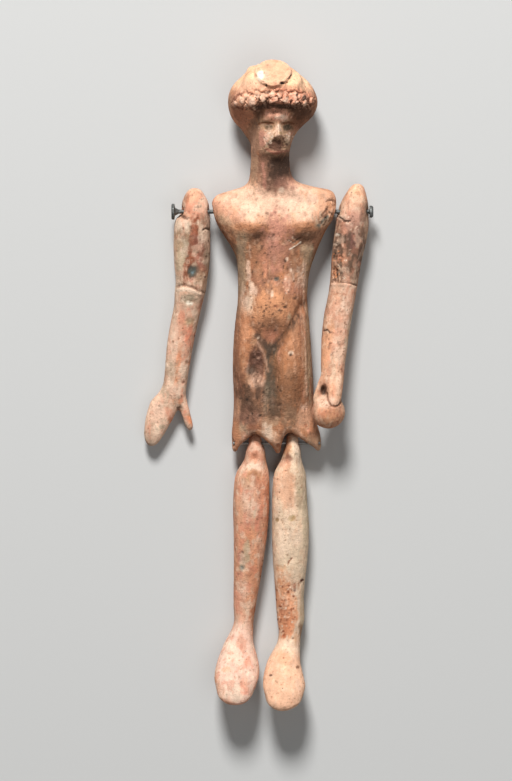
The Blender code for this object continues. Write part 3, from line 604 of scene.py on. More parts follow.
TORSO_RELIEF = (
    # Face: forehead, brows, eyes, nose, cheeks, mouth and chin
    Dent(267, 121.5, 5.5, 1.8, 0.25), Dent(288, 121.5, 5, 1.8, 0.25), Dent(267.5, 128, 4.8, 2.6, -0.75),
    Dent(287.5, 128, 4.4, 2.6, -0.75), Dent(267, 128, 2.8, 1.2, 0.32), Dent(287, 127.8, 2.6, 1.2, 0.32),
    Line((261.5, 124.6, 266, 123.6, 272, 124.4), 0.9, -0.22, 0.3),
    Line((283, 124.4, 288, 123.4, 293, 124.8), 0.9, -0.22, 0.3), Dent(278.6, 128, 2, 8, 0.85, -4),
    Dent(279, 136.2, 3, 2.6, 0.85), Dent(277, 117, 13, 5, 2), Dent(275.4, 137.6, 1.6, 1.4, 0.25),
    Dent(282.2, 137.4, 1.6, 1.4, 0.25), Dent(277, 145, 7.5, 4, -0.65),
    Line((270, 149.6, 277, 150.4, 285, 149.4), 0.9, -0.14, 0.6), Dent(276, 149.6, 5, 1.3, 0.1),
    Dent(275, 153.8, 8, 1.8, 0.4), Dent(264.5, 136, 4.5, 5.5, 0.2), Dent(290, 136, 3.5, 5, 0.15),
    Chip(269, 138, 6.5, 8, -0.2, 10), Chip(289, 139, 5, 6, -0.2), Chip(268, 146, 4, 6, -0.22, 30),
    Chip(277, 145, 9, 6, 0.2), Chip(276, 124, 14, 6, 0.08), Dent(281, 108.8, 25, 2.4, -0.9),
    Dent(258, 113, 4, 3.5, -0.4),
    # Hair: creases over the fringe, holes and a worn edge to the disc
    Line((262, 94.5, 270, 93.6, 276, 94.2, 282, 92.6), 1.1, -0.35, 0.7),
    Line((289, 94, 296, 93.6, 303, 94.8), 1.1, -0.3, 0.7),
    Line((236, 99.5, 243, 95, 252, 96, 257, 98.5), 1.1, -0.3, 0.8), Dent(282, 85.2, 2.3, 1.3, -1.1, -10),
    Dent(266, 87.4, 1, 1.2, -0.5), Dent(287, 84.6, 0.9, 0.9, -0.4),
    Line((256, 77.5, 258.5, 81.5, 263, 84.5), 0.9, -0.3, 0.2),
    Line((286, 82.4, 289.5, 80.4, 291.5, 77), 0.9, -0.3, 0.2), Dent(296.6, 96.6, 1.2, 1.8, -0.6),
    Dent(287, 99, 1.2, 1, -0.5), Dent(304, 99.5, 1.6, 2, -0.5),
    # Shoulders and chest
    Chip(331, 211, 7, 13, 0.32, 12), Chip(323.5, 222, 5.5, 7, 0.28, 25),
    Line((326, 202.5, 329.5, 200.4, 334.5, 201.6, 337, 205), 0.7, -0.25, 0.4),
    Line((322, 216, 325, 212, 328, 208), 0.8, -0.3, 0.6),
    Line((327, 209, 330, 213, 332.5, 215), 0.7, -0.25, 0.4), Dent(257, 222, 14, 9, 0.35),
    Dent(303, 222, 14, 9, 0.35), Dent(280, 226, 6, 12, -0.2), Dent(258.5, 241, 13, 6, -0.5),
    Dent(304, 242, 12, 6.5, -0.55), Line((289.5, 249.6, 295, 246.6, 300.5, 242.6), 0.7, 0.16, 0.1),
    Line((289, 241.4, 293, 244.2, 298, 240), 0.6, -0.2, 0.5),
    Line((293, 238, 297, 241, 301, 238.6), 0.6, -0.2, 0.5),
    # Trunk
    Dent(285.4, 261.4, 1.1, 1.1, -0.55), Dent(283.4, 268, 1.2, 2.2, -0.35), Dent(287, 270, 1, 1.8, -0.3),
    Dent(276.6, 279.2, 2.2, 1.8, -0.35), Dent(285, 307.4, 2, 1.5, -0.4), Dent(275, 306.6, 1.6, 1.2, -0.3),
    Line((249, 272, 250, 281, 253.5, 289), 1.2, 0.1, 0.6), Chip(249, 305, 6, 14, 0.1, 4),
    Chip(298, 276, 6, 8, 0.1, 20),
    # Groin, thighs and hem
    Dent(273, 305, 18, 16, 0.6), Dent(272, 332, 15, 7, -0.35),
    Line((303, 306, 294, 322, 285, 337, 276, 348), 4.6, -0.6, 1),
    Line((254, 329, 261, 338, 268, 347), 3.6, -0.45, 1),
    Line((272, 356, 271.5, 375, 273, 400, 276, 416), 6, -0.75, 1), Dent(290, 362, 10, 36, 0.65, 3),
    Dent(243, 340, 7, 34, 0.45, 3), Dent(241, 395, 6, 12, -0.4),
    Line((257.5, 343, 262, 351, 266, 361, 268, 372), 1.2, 0.16, 0.3),
    Line((248.5, 360, 247.5, 374, 250, 385, 254, 391), 1.2, 0.14, 0.3), Dent(256, 369, 6.5, 14, -0.8, -8),
    Chip(256.5, 367, 8, 20, 0.32, -6), Dent(256, 386, 5.5, 4, 0.35),
    Line((303.5, 262, 304.5, 300, 305, 340, 306.5, 380, 307, 415), 0.9, 0.11, 0.9),
    Line((308, 330, 308.5, 360, 309, 398), 0.8, -0.08, 0.7), Line((295, 355, 296, 380), 0.8, 0.06, 0.6),
    Dent(291, 354.4, 1.5, 1.8, -0.5), Dent(299.8, 368.6, 1.1, 1.1, -0.3), Dent(302, 342, 0.9, 0.9, -0.3),
    Dent(250, 411, 2, 3, -0.3), Dent(288, 420, 1.4, 1.4, -0.3), Dent(279.5, 405.5, 2, 1.2, -0.3),
    Chip(270, 419, 10, 5, 0.14), Chip(305, 408, 4.5, 4, 0.14), Dent(278.2, 445.5, 2.2, 2.2, -0.25),
    Line((275.8, 444, 278, 442.4, 280.6, 444.4), 0.6, 0.14, 0.1), Chip(306, 426, 4, 5, 0.12),
)
TORSO_PAINT = (
    (270, 300, 36, 60, UMBER, 35, 150), (270, 265, 34, 26, UMBER, 35, 140),
    # Sides of the trunk
    (241, 262, 6, 40, GREIGE, 55, 50, 2), (308, 262, 7, 45, GREIGE, 60, 50, -4),
    (308.5, 350, 4.2, 72, GREIGE, 65, 60, 1),
    # Chest and shoulders
    (272, 202, 68, 29, PEACH, 95, 12), (268, 200, 48, 18, PALE, 70, 40), (300, 207, 20, 14, PALE, 50, 50),
    (250, 214, 9, 8, CREAM, 50, 50), (233, 214, 14, 8, SALMON, 35, 60, 20),
    (216, 206, 6, 12, SALMON, 40, 60, -20), (224, 222, 12, 5, GREIGE, 35, 70, 40),
    (254, 229, 22, 5, ORANGE, 75, 30, 4), (303, 228, 20, 5, ORANGE, 75, 30, -4),
    # Painted shade under the breasts
    (260, 236, 9, 5.5, BROWN, 75, 40), (306, 238, 12, 6.5, BROWN, 75, 40, -5),
    (301, 240, 5, 4, UMBER, 50, 50), (257, 237, 4, 3, UMBER, 55, 50),
    # The shoulder's chipped front
    (331, 209, 6, 9, PEACH, 80, 40, 10), (324, 220, 6.5, 7.5, ASH, 60, 90, 30),
    (329, 207, 3.5, 4, ORANGE, 50), (325, 214, 2.5, 5, RUST, 60, 60, 30),
    Streak((321.5, 216.5, 325, 211.5, 328, 208), 0.8, UMBER, 60, 90),
    Streak((327, 209.5, 330, 213.5, 332.5, 215.5), 0.7, UMBER, 50, 90),
    Streak((326.5, 202, 329.5, 200.2, 334.5, 201.4, 337, 205), 0.7, BROWN, 70, 40),
    Streak((319, 226, 323, 221, 327, 217), 1, SLATE, 60, 80),
    # Trunk
    (277, 250, 14, 26, ROSE, 75, 70, 4), (276, 232, 8, 16, ROSE, 50), (293, 262, 11, 13, BROWN, 40, 50),
    (258, 262, 9, 18, ORANGE, 50), (281, 240, 6, 5, SALMON, 50), (274, 268, 12, 8, SALMON, 35, 70),
    (283, 276, 7, 4, ORANGE, 70), (272, 308, 21, 22, (86, 60, 43), 80), (290, 287, 12, 8, ROSE, 50, 60, 20),
    (298, 277, 8, 9, PALE, 65, 120, 25), (304, 268, 2.5, 6, PALE, 60, 80, 10),
    Streak((249, 246, 250.5, 258), 1, PALE, 50, 90),
    Streak((248, 262, 249, 280, 254, 289), 1.6, PALE, 80, 90), (249, 303, 5.5, 14.5, CREAM, 80, 70, 3),
    (243.5, 302, 3, 13, PALE, 60), (254, 291, 3.5, 4.5, PALE, 80, 60, -20),
    (271.5, 294.5, 1.6, 4.5, CREAM, 85), (289, 318, 2.2, 4.5, GREIGE, 65, 60, 10),
    # The brown dab under the belly is painted shade below its bulge
    (272, 326, 16, 8, BROWN, 45, 40), Streak((289.5, 249.8, 295, 246.8, 300.5, 242.8), 0.75, CHALK, 80, 50),
    Streak((289, 240.8, 293, 243.8, 298, 239.8), 0.6, CREAM, 80, 40),
    Streak((292.5, 238, 296, 241), 0.6, CREAM, 70, 40), (287, 259.5, 1.6, 1.6, CREAM, 80, 50),
    # Pits and dark specks
    (285.4, 261.6, 1.1, 1.1, SOIL_AND_SHADE, 100, 20), (283.3, 268, 1.2, 2.3, UMBER, 80, 30),
    (287, 270, 1, 1.8, UMBER, 80, 30), (276.8, 279.2, 2.4, 1.7, SLATE, 85, 40),
    (279.4, 216, 1.6, 0.9, RUST, 70, 30), (257, 243.5, 1.1, 2, UMBER, 70, 40),
    (261.4, 249, 1.4, 1.1, UMBER, 70, 40), (303.4, 282, 0.9, 1.6, UMBER, 70, 30),
    (285.2, 307.6, 2.2, 1.5, UMBER, 85, 40), (275.4, 306.8, 2.4, 1.3, RUST, 80, 50),
    # Groin and the groove between the thighs, with painted shade darkening the groin's creases and the
    # groove
    (272, 337, 9, 8, (58, 37, 28), 75, 50), Streak((257, 336, 264, 343, 272, 352), 3, (30, 22, 17), 80, 50),
    Streak((297, 318, 289, 332, 280, 342, 273, 352), 4.4, (28, 21, 17), 90, 50),
    Streak((272, 350, 271, 372, 272, 392), 6, (32, 28, 23), 85, 50),
    Streak((271, 386, 275, 414), 7.5, (38, 33, 27), 85, 70),
    Streak((266.5, 388, 265.5, 414), 2.6, ASH, 55, 50), (270, 348, 7, 6, (32, 25, 20), 75, 50),
    (258, 338, 1.8, 1.1, CREAM, 70, 40, -30),
    Streak((258.5, 344, 262.5, 352, 266, 361, 268, 372), 1.1, (62, 45, 35), 70, 50),
    # Thighs
    (244, 345, 9, 32, (72, 47, 32), 80, 50, 4), (243, 334, 6, 18, PEACH, 30, 90),
    (290, 368, 14, 46, (64, 42, 28), 80, 50, 3), (297, 342, 6, 24, PEACH, 35, 90),
    # In the thigh's recess the dark dabs are painted shade in its upper part, and the pale dabs below are
    # painted light on its lower wall
    (290, 392, 13, 22, (56, 40, 29), 50, 90), (256.5, 367, 8.5, 21, (50, 35, 28), 90, 25, -6),
    (256.5, 358, 5.5, 11, (36, 24, 20), 60, 50, -6), (252, 371, 5, 5, (40, 37, 33), 60),
    (256, 381, 7.5, 9, (78, 62, 52), 90, 35, -10), (255, 380, 3.5, 3.5, PALE, 50),
    # The dark dabs here and the brown streak below along the thigh's left edge are painted shade on that
    # side
    (241, 390, 7.5, 18, (44, 29, 22), 50, 60, 4), (237, 374, 4, 22, BROWN, 50, 60, 4),
    Streak((239, 441, 246, 434, 252, 431, 258, 430, 265, 433, 271, 441), 0.9, PALE, 50),
    Streak((283, 437, 285, 429, 290, 426.5, 297, 430, 306, 439), 0.9, PALE, 50),
    Streak((238, 325, 237, 360), 2, BROWN, 35, 40),
    Streak((303, 262, 304, 300, 305, 340, 306, 380, 307, 410), 1, PALE, 50, 130),
    Streak((300.5, 305, 302, 345, 303, 366), 0.8, PALE, 35, 130),
    Streak((299.5, 310, 300, 332), 1, RUST, 40, 90), Streak((294, 350, 295, 372), 0.9, PEACH, 50, 90),
    (291, 353, 2.4, 1.8, CREAM, 85, 40), (291, 355, 1.5, 1.2, SOIL_AND_SHADE, 80, 20),
    (273.5, 390, 1.5, 1, SOIL_AND_SHADE, 70, 40), (274.5, 402.6, 1.8, 0.9, UMBER, 70, 40),
    (279.8, 405.6, 2.2, 1, UMBER, 80, 40),
    # Hem and lugs
    (252, 407, 15, 24, (36, 26, 20), 85), (288, 414, 18, 13, (46, 34, 26), 65, 90),
    (252, 418, 12, 9, ROSE, 30, 80), (251, 411, 2.5, 4, UMBER, 70, 70), (242, 428, 5, 5, GREIGE, 50),
    (254, 427, 7, 2.5, RUST, 50, 70), (236.5, 436, 4.5, 18, ORANGE, 60, 30, -6),
    (237, 408, 3.5, 12, PEACH, 50, 40, 6), (270, 421, 10, 5, TAN, 60, 70),
    (269, 433, 6, 9.5, CREAM, 80, 45, -30), (278, 442, 4.5, 8, PEACH, 50, 40),
    (278.2, 445.5, 2.3, 2.4, RUST, 80, 20), (305, 418, 8, 15, PEACH, 75, 40, 8),
    (304, 407, 3.4, 2.4, PALE, 70), (305.5, 425.5, 1.6, 1.8, RUST, 80, 50),
    (309, 431, 2.2, 2.6, SALMON, 70, 50), (289, 416, 8, 9, TAN, 40, 50), (316, 442, 7, 9, TAN, 60, 40, -35),
    (314, 434, 4, 5, BROWN, 50, 50),
    # Neck, with the shadow of the chin and hair painted on as the dark dabs, lighter to the left
    (272, 168, 26, 22, (49, 35, 28), 85, 30), (254, 168, 5, 20, TAN, 60),
    (281, 166, 13, 12, (24, 17, 13), 90, 50), (275, 175, 8, 8, (24, 17, 13), 70),
    Streak((263, 165, 264, 178, 264.5, 189), 1.9, ROSE, 80), (284, 184, 9, 6, ROSE, 40, 70),
    (281, 191, 2.5, 2.5, CREAM, 80, 60, 30),
    # Hair
    (272, 80, 46, 20, (96, 75, 59), 95, 15), (255, 88, 20, 8, PALE, 40, 60, -10),
    (303, 85, 13, 9, (100, 82, 66), 70, 50, 30), (273, 72.5, 18, 12.5, PEACH, 90, 10),
    # The chalk dab on the disc's left is a painted highlight
    (260, 77.5, 3.2, 5.5, CHALK, 90, 30, 6), (266, 77, 2.4, 4.5, PALE, 60, 50),
    (276, 93, 44, 6.5, SALMON, 40, 50), (288, 99, 25, 8.5, (98, 66, 53), 90, 30, 2),
    (288, 99.5, 24, 6.5, RUST, 25, 120, 2), (250, 101, 16, 8, (92, 68, 55), 85, 40, 5),
    (241, 104, 5, 4, PEACH, 80, 50), (255, 109.4, 2.4, 2.2, CREAM, 90, 30), (252, 103, 4.5, 4, ROSE, 50),
    # The darkest dab under the disc's lower edge is painted shadow in the gap
    (282, 85.4, 2.3, 1.3, SOIL_AND_SHADE, 100, 20, -10), (266.4, 87.6, 1, 1.6, UMBER, 90, 30),
    (267.5, 94.6, 3, 1.3, UMBER, 90, 50, -15), (277.5, 94.2, 4.5, 0.9, BROWN, 80, 50),
    (294.5, 93.8, 4.5, 0.9, BROWN, 80, 50, 5), (296.6, 96.8, 1.2, 2, SOIL_AND_SHADE, 90, 40),
    (304, 99.5, 2.2, 2.6, SOIL_AND_SHADE, 80, 50), (287.2, 99.4, 1.4, 1.1, UMBER, 80, 40),
    (285, 103, 2.4, 1.4, CREAM, 80), (305.4, 106, 1.6, 2.8, CREAM, 80), (296.5, 104, 2, 1.2, PALE, 80),
    (275.5, 99.5, 4, 1.4, PALE, 50, 80, 10), (265, 103.5, 4, 4, UMBER, 60, 50),
    # The umber and darkest dabs here are painted shadow under the fringe's overhang, across the brow and
    # down beside the face
    (279, 108.4, 26, 3, UMBER, 80, 30), (279, 108.6, 24, 2, SOIL_AND_SHADE, 50, 30),
    (300, 111.5, 12, 4, SOIL_AND_SHADE, 60, 35), (242, 119, 14, 12, (78, 53, 41), 80, 40, 15),
    (238, 114, 7, 7, RUST, 40), (303, 119, 13, 12, BROWN, 85, 30, -15), (300, 114, 10, 6, UMBER, 70, 50),
    (259, 114, 5, 6, UMBER, 65, 50),
    # Face
    (272, 136, 23, 21, TAN, 75, 20), (257, 140, 8, 16, (54, 39, 31), 65, 50),
    # The bright dabs on the forehead are its pink clay with painted light against the fringe's shadow
    (277, 116, 14, 6.5, (100, 72, 60), 100, 25), (282, 119, 7, 3.4, (100, 84, 74), 85, 50),
    (267, 120, 5, 2.6, PEACH, 60, 50), (263, 139, 5, 8, ROSE, 70, 40),
    (268.5, 129, 4.6, 2.4, (34, 28, 21), 80), (287.5, 129, 4.8, 2.8, (32, 27, 21), 80),
    (267, 126.3, 4.6, 0.9, PALE, 50, 50), Streak((259, 125, 266, 124, 273, 124.8), 1.1, (46, 28, 18), 75),
    Streak((282, 125.4, 288, 123.8, 293, 124.8), 1.1, (46, 28, 18), 75), (278, 131.5, 4, 7, PALE, 70, 40),
    # The cream dab down the nose's bridge is a painted highlight
    (279, 129, 2, 4, CREAM, 70, 40), (280.4, 134.4, 1.6, 1.4, (55, 45, 28), 50, 50),
    (279, 122.5, 2, 2.6, SALMON, 50, 50), (270.5, 135.5, 4.6, 4.4, PALE, 60, 100, 20),
    (288, 139, 4, 4, PALE, 50, 100), (290, 134.5, 3, 2.6, ROSE, 50),
    Streak((266, 148, 268.5, 144, 271, 141.5), 0.8, GREIGE, 80, 50),
    # The dark dabs over the mouth are painted shade under the nose
    (277, 146.5, 7.5, 5, (34, 22, 17), 95, 50), (278, 146.5, 3, 1.6, UMBER, 50, 90),
    (286, 144, 3, 1.8, GREIGE, 50, 70),
    Streak((266, 150.6, 271, 153.4, 277, 154, 287, 151.4), 1.2, (62, 38, 31), 65, 70),
    (285, 149.5, 3, 2, TAN, 60, 50),
)
RIGHT_ARM_RELIEF = (
    Line((176, 217.5, 181, 216.5, 187, 219.5), 1.5, -0.3, 0.4), Chip(181, 210, 5.5, 6, 0.3),
    Dent(195.5, 188.5, 2.4, 3, -0.5),
    Line((203.5, 230.5, 206, 229, 209.5, 230, 211, 234, 211, 239), 0.9, -0.4, 0.2),
    Line((178, 286, 186, 285.5, 193, 287.5, 198, 290.5, 205, 292.5), 1.3, -0.24, 1),
    Line((178, 289.5, 188, 289, 195, 291.5, 200, 294.5), 1.4, 0.16, 0.5), Dent(192.5, 272, 4, 5, -0.3, 20),
    Chip(190, 301, 7, 5, 0.1), Chip(189, 322, 6, 4, 0.1), Dent(187, 363, 1.6, 1.8, -0.3),
    Dent(183.2, 382.5, 1.6, 1.2, -0.3, -30), Dent(180, 408, 2.2, 2.2, -0.3),
    Dent(167.5, 366, 1.6, 3.4, 0.35), Chip(205, 243, 5, 10, 0.08), Chip(196, 335, 3.5, 12, 0.07),
    Line((154, 423, 160, 424), 0.6, -0.12, 0.1),
)
RIGHT_ARM_PAINT = (
    (202, 248, 11, 38, (50, 37, 29), 80, 90), (186, 240, 7, 40, (62, 53, 44), 75),
    (182, 340, 16, 50, SALMON, 35, 160, 8), (196, 203, 13, 15, SALMON, 75, 40),
    (194, 195, 8, 8, PEACH, 70, 50), (190, 214, 12, 9, SALMON, 75, 50), (207, 205, 4, 20, PALE, 70, 40, -8),
    (187, 199, 2.4, 5, RUST, 70, 50, 20), (196.5, 207.8, 2.2, 0.9, UMBER, 70), (183, 226, 6, 6, CREAM, 75),
    (184, 236, 7.5, 5.5, (56, 44, 34), 80, 50), (179, 245, 4, 9, TAN, 70, 50),
    (188, 244, 3, 5.5, ASH, 55, 50), (189, 253, 3, 6, PALE, 60), (181, 262, 4.5, 16, GREIGE, 60),
    Streak((195.5, 221, 195, 236, 194, 250, 190, 262, 187, 272, 185, 283), 3.8, (52, 29, 20), 90, 70),
    (200, 254, 6, 13, (52, 35, 28), 65, 80, -15), (200, 244, 4, 8, (52, 35, 30), 60, 90),
    Streak((197, 244, 201, 255, 203, 268), 3.6, (50, 30, 23), 80, 50),
    Streak((194, 254, 200, 262, 203, 268), 2.4, ROSE, 50, 70), (192.5, 272, 6, 7.4, UMBER, 90, 25, 25),
    (192.5, 271.5, 4.8, 6.2, SLATE, 85, 40, 25), (192.5, 272.6, 1.8, 1.6, (45, 52, 54), 80, 50),
    (190.5, 281, 2.4, 1.6, ROSE, 70, 50, 30),
    Streak((204, 230, 206.4, 228.6, 209.4, 229.8, 211, 234, 211, 238.5), 0.8, SOIL_AND_SHADE, 95, 15),
    (205, 235, 5, 8, CREAM, 60), (210.5, 250, 2.5, 24, PALE, 60, 70), (207, 259, 3.5, 8, ASH, 60, 70),
    (203, 278, 8, 9, TAN, 55),
    Streak((178, 286, 186, 285.2, 193, 287.2, 198, 290.2, 205, 292.6), 1.1, UMBER, 45, 110),
    Streak((178, 290, 188, 289.5, 196, 292.5, 201, 295), 1.6, CREAM, 85),
    (190.5, 299.5, 8, 5.2, ASH, 85, 50), (190, 303.5, 4.5, 1.8, CHALK, 75, 80),
    (192, 309, 4.5, 2.6, ROSE, 60, 70), (189, 322, 5.5, 3.8, (58, 50, 38), 80),
    (181, 318, 3.5, 6.5, SALMON, 75, 60, 20), (184, 340, 8, 22, SALMON, 40, 80, 6),
    (187, 335, 3.5, 9.5, (80, 49, 38), 75, 70, 5), (173, 345, 4, 26, PALE, 65, 50, 5),
    Streak((181, 345, 177.5, 368, 176.5, 384), 2.2, (80, 52, 38), 75, 70),
    (187, 362.5, 1.8, 2.6, RUST, 75, 50), (171, 368, 5, 9, ASH, 45), (184, 372, 4, 9, CREAM, 60),
    (183.4, 382.4, 1.8, 0.9, UMBER, 85, 40, -35), (166.5, 365, 1.4, 2.6, CREAM, 80, 30),
    (180, 390, 9, 8, PALE, 70, 50), (160, 418, 15, 27, (88, 71, 60), 85, 30, -14),
    (158, 412, 8, 14, PALE, 60, 60, -10), (172, 417, 3.6, 12, SALMON, 75, 50, -24),
    (170.5, 421, 2.4, 4, (82, 50, 36), 70, 60, -24), (157, 431, 5, 7, CREAM, 60),
    (162, 427.5, 4, 2.6, ASH, 65, 80, -30), (149, 432, 3, 10, SALMON, 55, 60, -5),
    (178, 401, 4, 3.5, (82, 53, 38), 60, 70), (182, 395, 1.6, 5, SALMON, 70), (180, 408, 3, 2.6, UMBER, 70),
    (190, 418, 5, 13, SALMON, 75, 40, -20), (191, 421, 2.6, 5, (88, 56, 38), 70, 50, -20),
    Streak((191, 402, 194, 416, 197, 427), 1, CREAM, 70, 50),
    # Painted shadow in the groove below the break at the top of the arm
    Streak((176, 217.2, 181, 216, 187, 219.2), 1.3, UMBER, 65, 50),
    Streak((176, 215.2, 184, 213.5, 190, 216.5), 1.3, PEACH, 80, 40),
)
LEFT_ARM_RELIEF = (
    Line((336.5, 216.5, 341, 219, 344.5, 222, 350, 221.4), 0.8, -0.42, 0.6), Chip(340, 221, 5, 4, 0.2, 10),
    Chip(339, 237.5, 3.5, 3, 0.28), Chip(336.5, 246.5, 4, 3, 0.3, -10), Chip(338.5, 259, 5, 5, 0.45),
    Chip(335, 275, 4.2, 8, 0.55), Dent(334, 281, 2.2, 1.6, -0.35),
    Line((331.5, 282.6, 341, 282.6, 350, 283.6, 358, 286.2), 0.9, -0.24, 0.5),
    Dent(354.4, 285, 2.6, 0.9, -0.3, 8), Line((331.5, 284.6, 341, 284.8, 350, 285.8), 1.2, 0.08, 0.4),
    Line((323.5, 330.6, 327, 329.6, 329.5, 332.4), 0.7, -0.3, 0.3), Dent(345, 343, 0.9, 0.9, -0.3),
    Dent(328.6, 339.4, 1, 0.9, -0.3), Dent(331, 343.4, 1.1, 0.8, -0.25), Dent(323, 391, 2.6, 4.6, -0.8, 10),
    Line((326.5, 393, 327.5, 400, 331, 405.6, 335, 407, 339.5, 404.6, 341.6, 400), 0.8, -0.34, 0.2),
    Chip(352, 238, 6, 14, 0.06), Dent(320, 374, 2.2, 1.4, 0.3),
)
LEFT_ARM_PAINT = (
    (355, 196, 14, 14, PEACH, 80, 40), (350, 213, 14, 12, PALE, 55), (355, 222, 11, 13, SALMON, 40, 70),
    (349, 254, 17, 31, (34, 26, 21), 95, 35, 8), (355, 252, 13, 30, UMBER, 25, 130, 5),
    (353, 222, 11, 12, (78, 58, 50), 70, 50), (353, 243, 5.5, 9, (44, 29, 26), 70),
    (347, 266, 11, 15, (45, 35, 28), 55, 80, 8), (361, 240, 5, 34, (42, 32, 26), 60, 50, 8),
    (353, 190, 8, 7, (88, 68, 54), 60, 50),
    Streak((336.5, 216.5, 341, 219, 344.5, 222, 350, 221.2), 0.8, SOIL_AND_SHADE, 90, 35),
    (340, 217.6, 3.6, 1.8, CREAM, 80, 60, 20), (338.5, 223, 4, 3, UMBER, 50, 70),
    (337, 235.2, 2.4, 1.6, CHALK, 85, 50), (337.4, 238.4, 1.3, 1.8, UMBER, 85, 40),
    (335.6, 244.4, 3.2, 1.5, CREAM, 90, 50, -15), (338.8, 258.6, 4.8, 5, (84, 56, 42), 85, 70),
    (336.6, 258, 1.2, 2.4, UMBER, 70), (334.6, 272, 2.8, 8.5, (76, 50, 35), 80, 60, 5),
    (333.6, 274, 1, 2.6, UMBER, 70, 50), (334, 280.6, 2.4, 1.7, SOIL_AND_SHADE, 85, 40),
    (335, 277.6, 2, 1.2, (88, 58, 38), 80, 40), (331.5, 262, 2, 9, ORANGE, 60),
    Streak((331.5, 282.4, 341, 282.4, 350, 283.4, 358, 286), 0.8, BROWN, 55, 70),
    (354.4, 285, 2.6, 0.9, UMBER, 80, 40, 8), (342, 322, 15, 40, (94, 80, 70), 85, 30, 8),
    (337, 300, 6, 12, PEACH, 60, 60, 8), (340, 330, 16, 46, SALMON, 60, 160, 8),
    (342, 315, 14, 34, ASH, 25, 160, 8), Streak((334, 294.6, 340, 293.6, 346, 294.4), 0.7, RUST, 50, 70),
    (349, 300, 5, 12, SALMON, 35, 80), (341, 331, 4, 4, SALMON, 50, 80),
    (350, 330, 3, 22, GREIGE, 45, 60, 8), (327, 345, 5, 24, (84, 60, 44), 60, 50, 5),
    Streak((323.5, 330.8, 327, 329.8, 329.5, 332.4), 0.8, SOIL_AND_SHADE, 85, 20),
    (331, 343.4, 1.5, 0.9, BROWN, 70, 40), (339, 350, 5, 12, CREAM, 40, 80),
    (336, 390, 8, 15, PEACH, 75, 30), (338, 384, 3, 14, CREAM, 45),
    # Painted shade in the hollow of the hand above the ball
    (323.4, 389.6, 3, 5.4, UMBER, 95, 20, 12), (324, 393, 2.2, 2.2, SOIL_AND_SHADE, 70, 30),
    (318.6, 374.6, 1.4, 1.2, UMBER, 80, 40), (321, 373, 2.2, 1, CREAM, 70, 40),
    (330, 414, 16, 14, PEACH, 85, 20), (331, 415, 15, 12, RUST, 45, 140), (324, 402, 8, 7, PALE, 70, 50),
    (335, 403, 6, 5, PALE, 50, 50),
    Streak((326.5, 393, 327.5, 400, 331, 405.8, 335, 407.2, 339.5, 404.8, 341.6, 400), 0.8, BROWN, 85, 30),
    (322, 413, 5, 4, (80, 53, 38), 60, 80, 20), (334, 413, 7, 3.5, (80, 55, 40), 55, 90),
    (330, 420, 9, 4, (74, 53, 38), 45, 90),
)
RIGHT_LEG_RELIEF = (
    Dent(254, 457, 3, 3, -0.3), Line((258.6, 534, 256, 543, 254, 549), 0.7, -0.1, 0.4),
    Chip(243, 567, 4, 5, 0.1), Dent(243, 568, 1.8, 2, -0.2), Chip(250, 507, 8, 10, 0.06),
    Line((241, 470, 250, 472, 259, 471), 2, 0.08, 0.8), Dent(242.4, 552.4, 1.4, 1, -0.2, 30),
    Chip(246, 590, 6, 9, 0.05),
)
RIGHT_LEG_PAINT = (
    (253, 447, 6, 13, SALMON, 70, 40), (255, 457, 4.5, 5, RUST, 70), (254, 467, 13, 4.6, CREAM, 85, 50),
    (264, 473, 6, 12, PALE, 70, 50, -10), (254, 477, 10, 7, (72, 51, 35), 80, 50, 10),
    (247, 485, 5, 8, GREIGE, 50, 80), (240, 488, 2.6, 9, (80, 50, 38), 60, 70),
    (263, 490, 8, 17, (84, 56, 43), 75, 50), (247, 496, 4, 5, ROSE, 50, 70),
    (249, 506, 7, 17, PALE, 85, 150, 4), (252, 540, 18, 60, (66, 43, 33), 45, 160),
    (247, 500, 4, 7, CREAM, 50, 140), (256, 514, 3.5, 6, GREIGE, 60),
    Streak((259, 506, 258, 518, 257, 530), 2.2, (76, 47, 37), 70, 70), (264, 512, 4, 12, (82, 54, 42), 60),
    (239, 520, 4, 22, (84, 62, 48), 60, 50), (246, 530, 4, 9, SALMON, 60),
    (251, 537, 6, 8, (83, 56, 40), 55, 70), Streak((257.6, 536, 255, 545, 254, 549), 0.9, CREAM, 70, 50),
    (263.6, 525, 0.9, 2.6, BROWN, 70, 50), (246.5, 556, 4, 11, GREIGE, 75, 70, 5),
    (240, 556, 3, 6, ROSE, 60), (242.4, 552.6, 1.5, 1, UMBER, 75, 40, 30),
    (255, 556, 3.5, 18, (84, 58, 44), 70), (243, 563, 3.4, 3.4, CREAM, 60, 50),
    (242.6, 568, 3.4, 3.6, ASH, 75, 40), (242.4, 568.2, 1.7, 1.9, SLATE, 85, 40),
    (241, 575, 4, 3, ROSE, 50, 70), (264, 560, 2.5, 24, PALE, 55, 60, -6),
    (254, 590, 7, 22, (82, 56, 42), 75, 50, 4), (243, 588, 5, 9, PALE, 60, 70),
    (238, 600, 3.5, 16, SALMON, 50, 50), Streak((255, 604, 253, 618), 2.6, (68, 46, 33), 55, 50),
    (240, 668, 26, 46, (89, 74, 66), 90, 12, -8), (236, 690, 12, 12, CREAM, 75, 70),
    (233, 655, 8, 14, CREAM, 50, 70, -20), (243, 642, 4, 8, SALMON, 50, 70),
    (227, 670, 4, 2.6, (90, 64, 52), 70, 50), (248, 661, 3, 5, (88, 60, 49), 65),
    (243, 685, 4, 9, (90, 62, 50), 70, 60, -10), (245, 693, 3.4, 3, (88, 56, 46), 60, 50),
    Streak((222, 701, 238, 706, 252, 700), 1.8, SALMON, 50, 50),
)
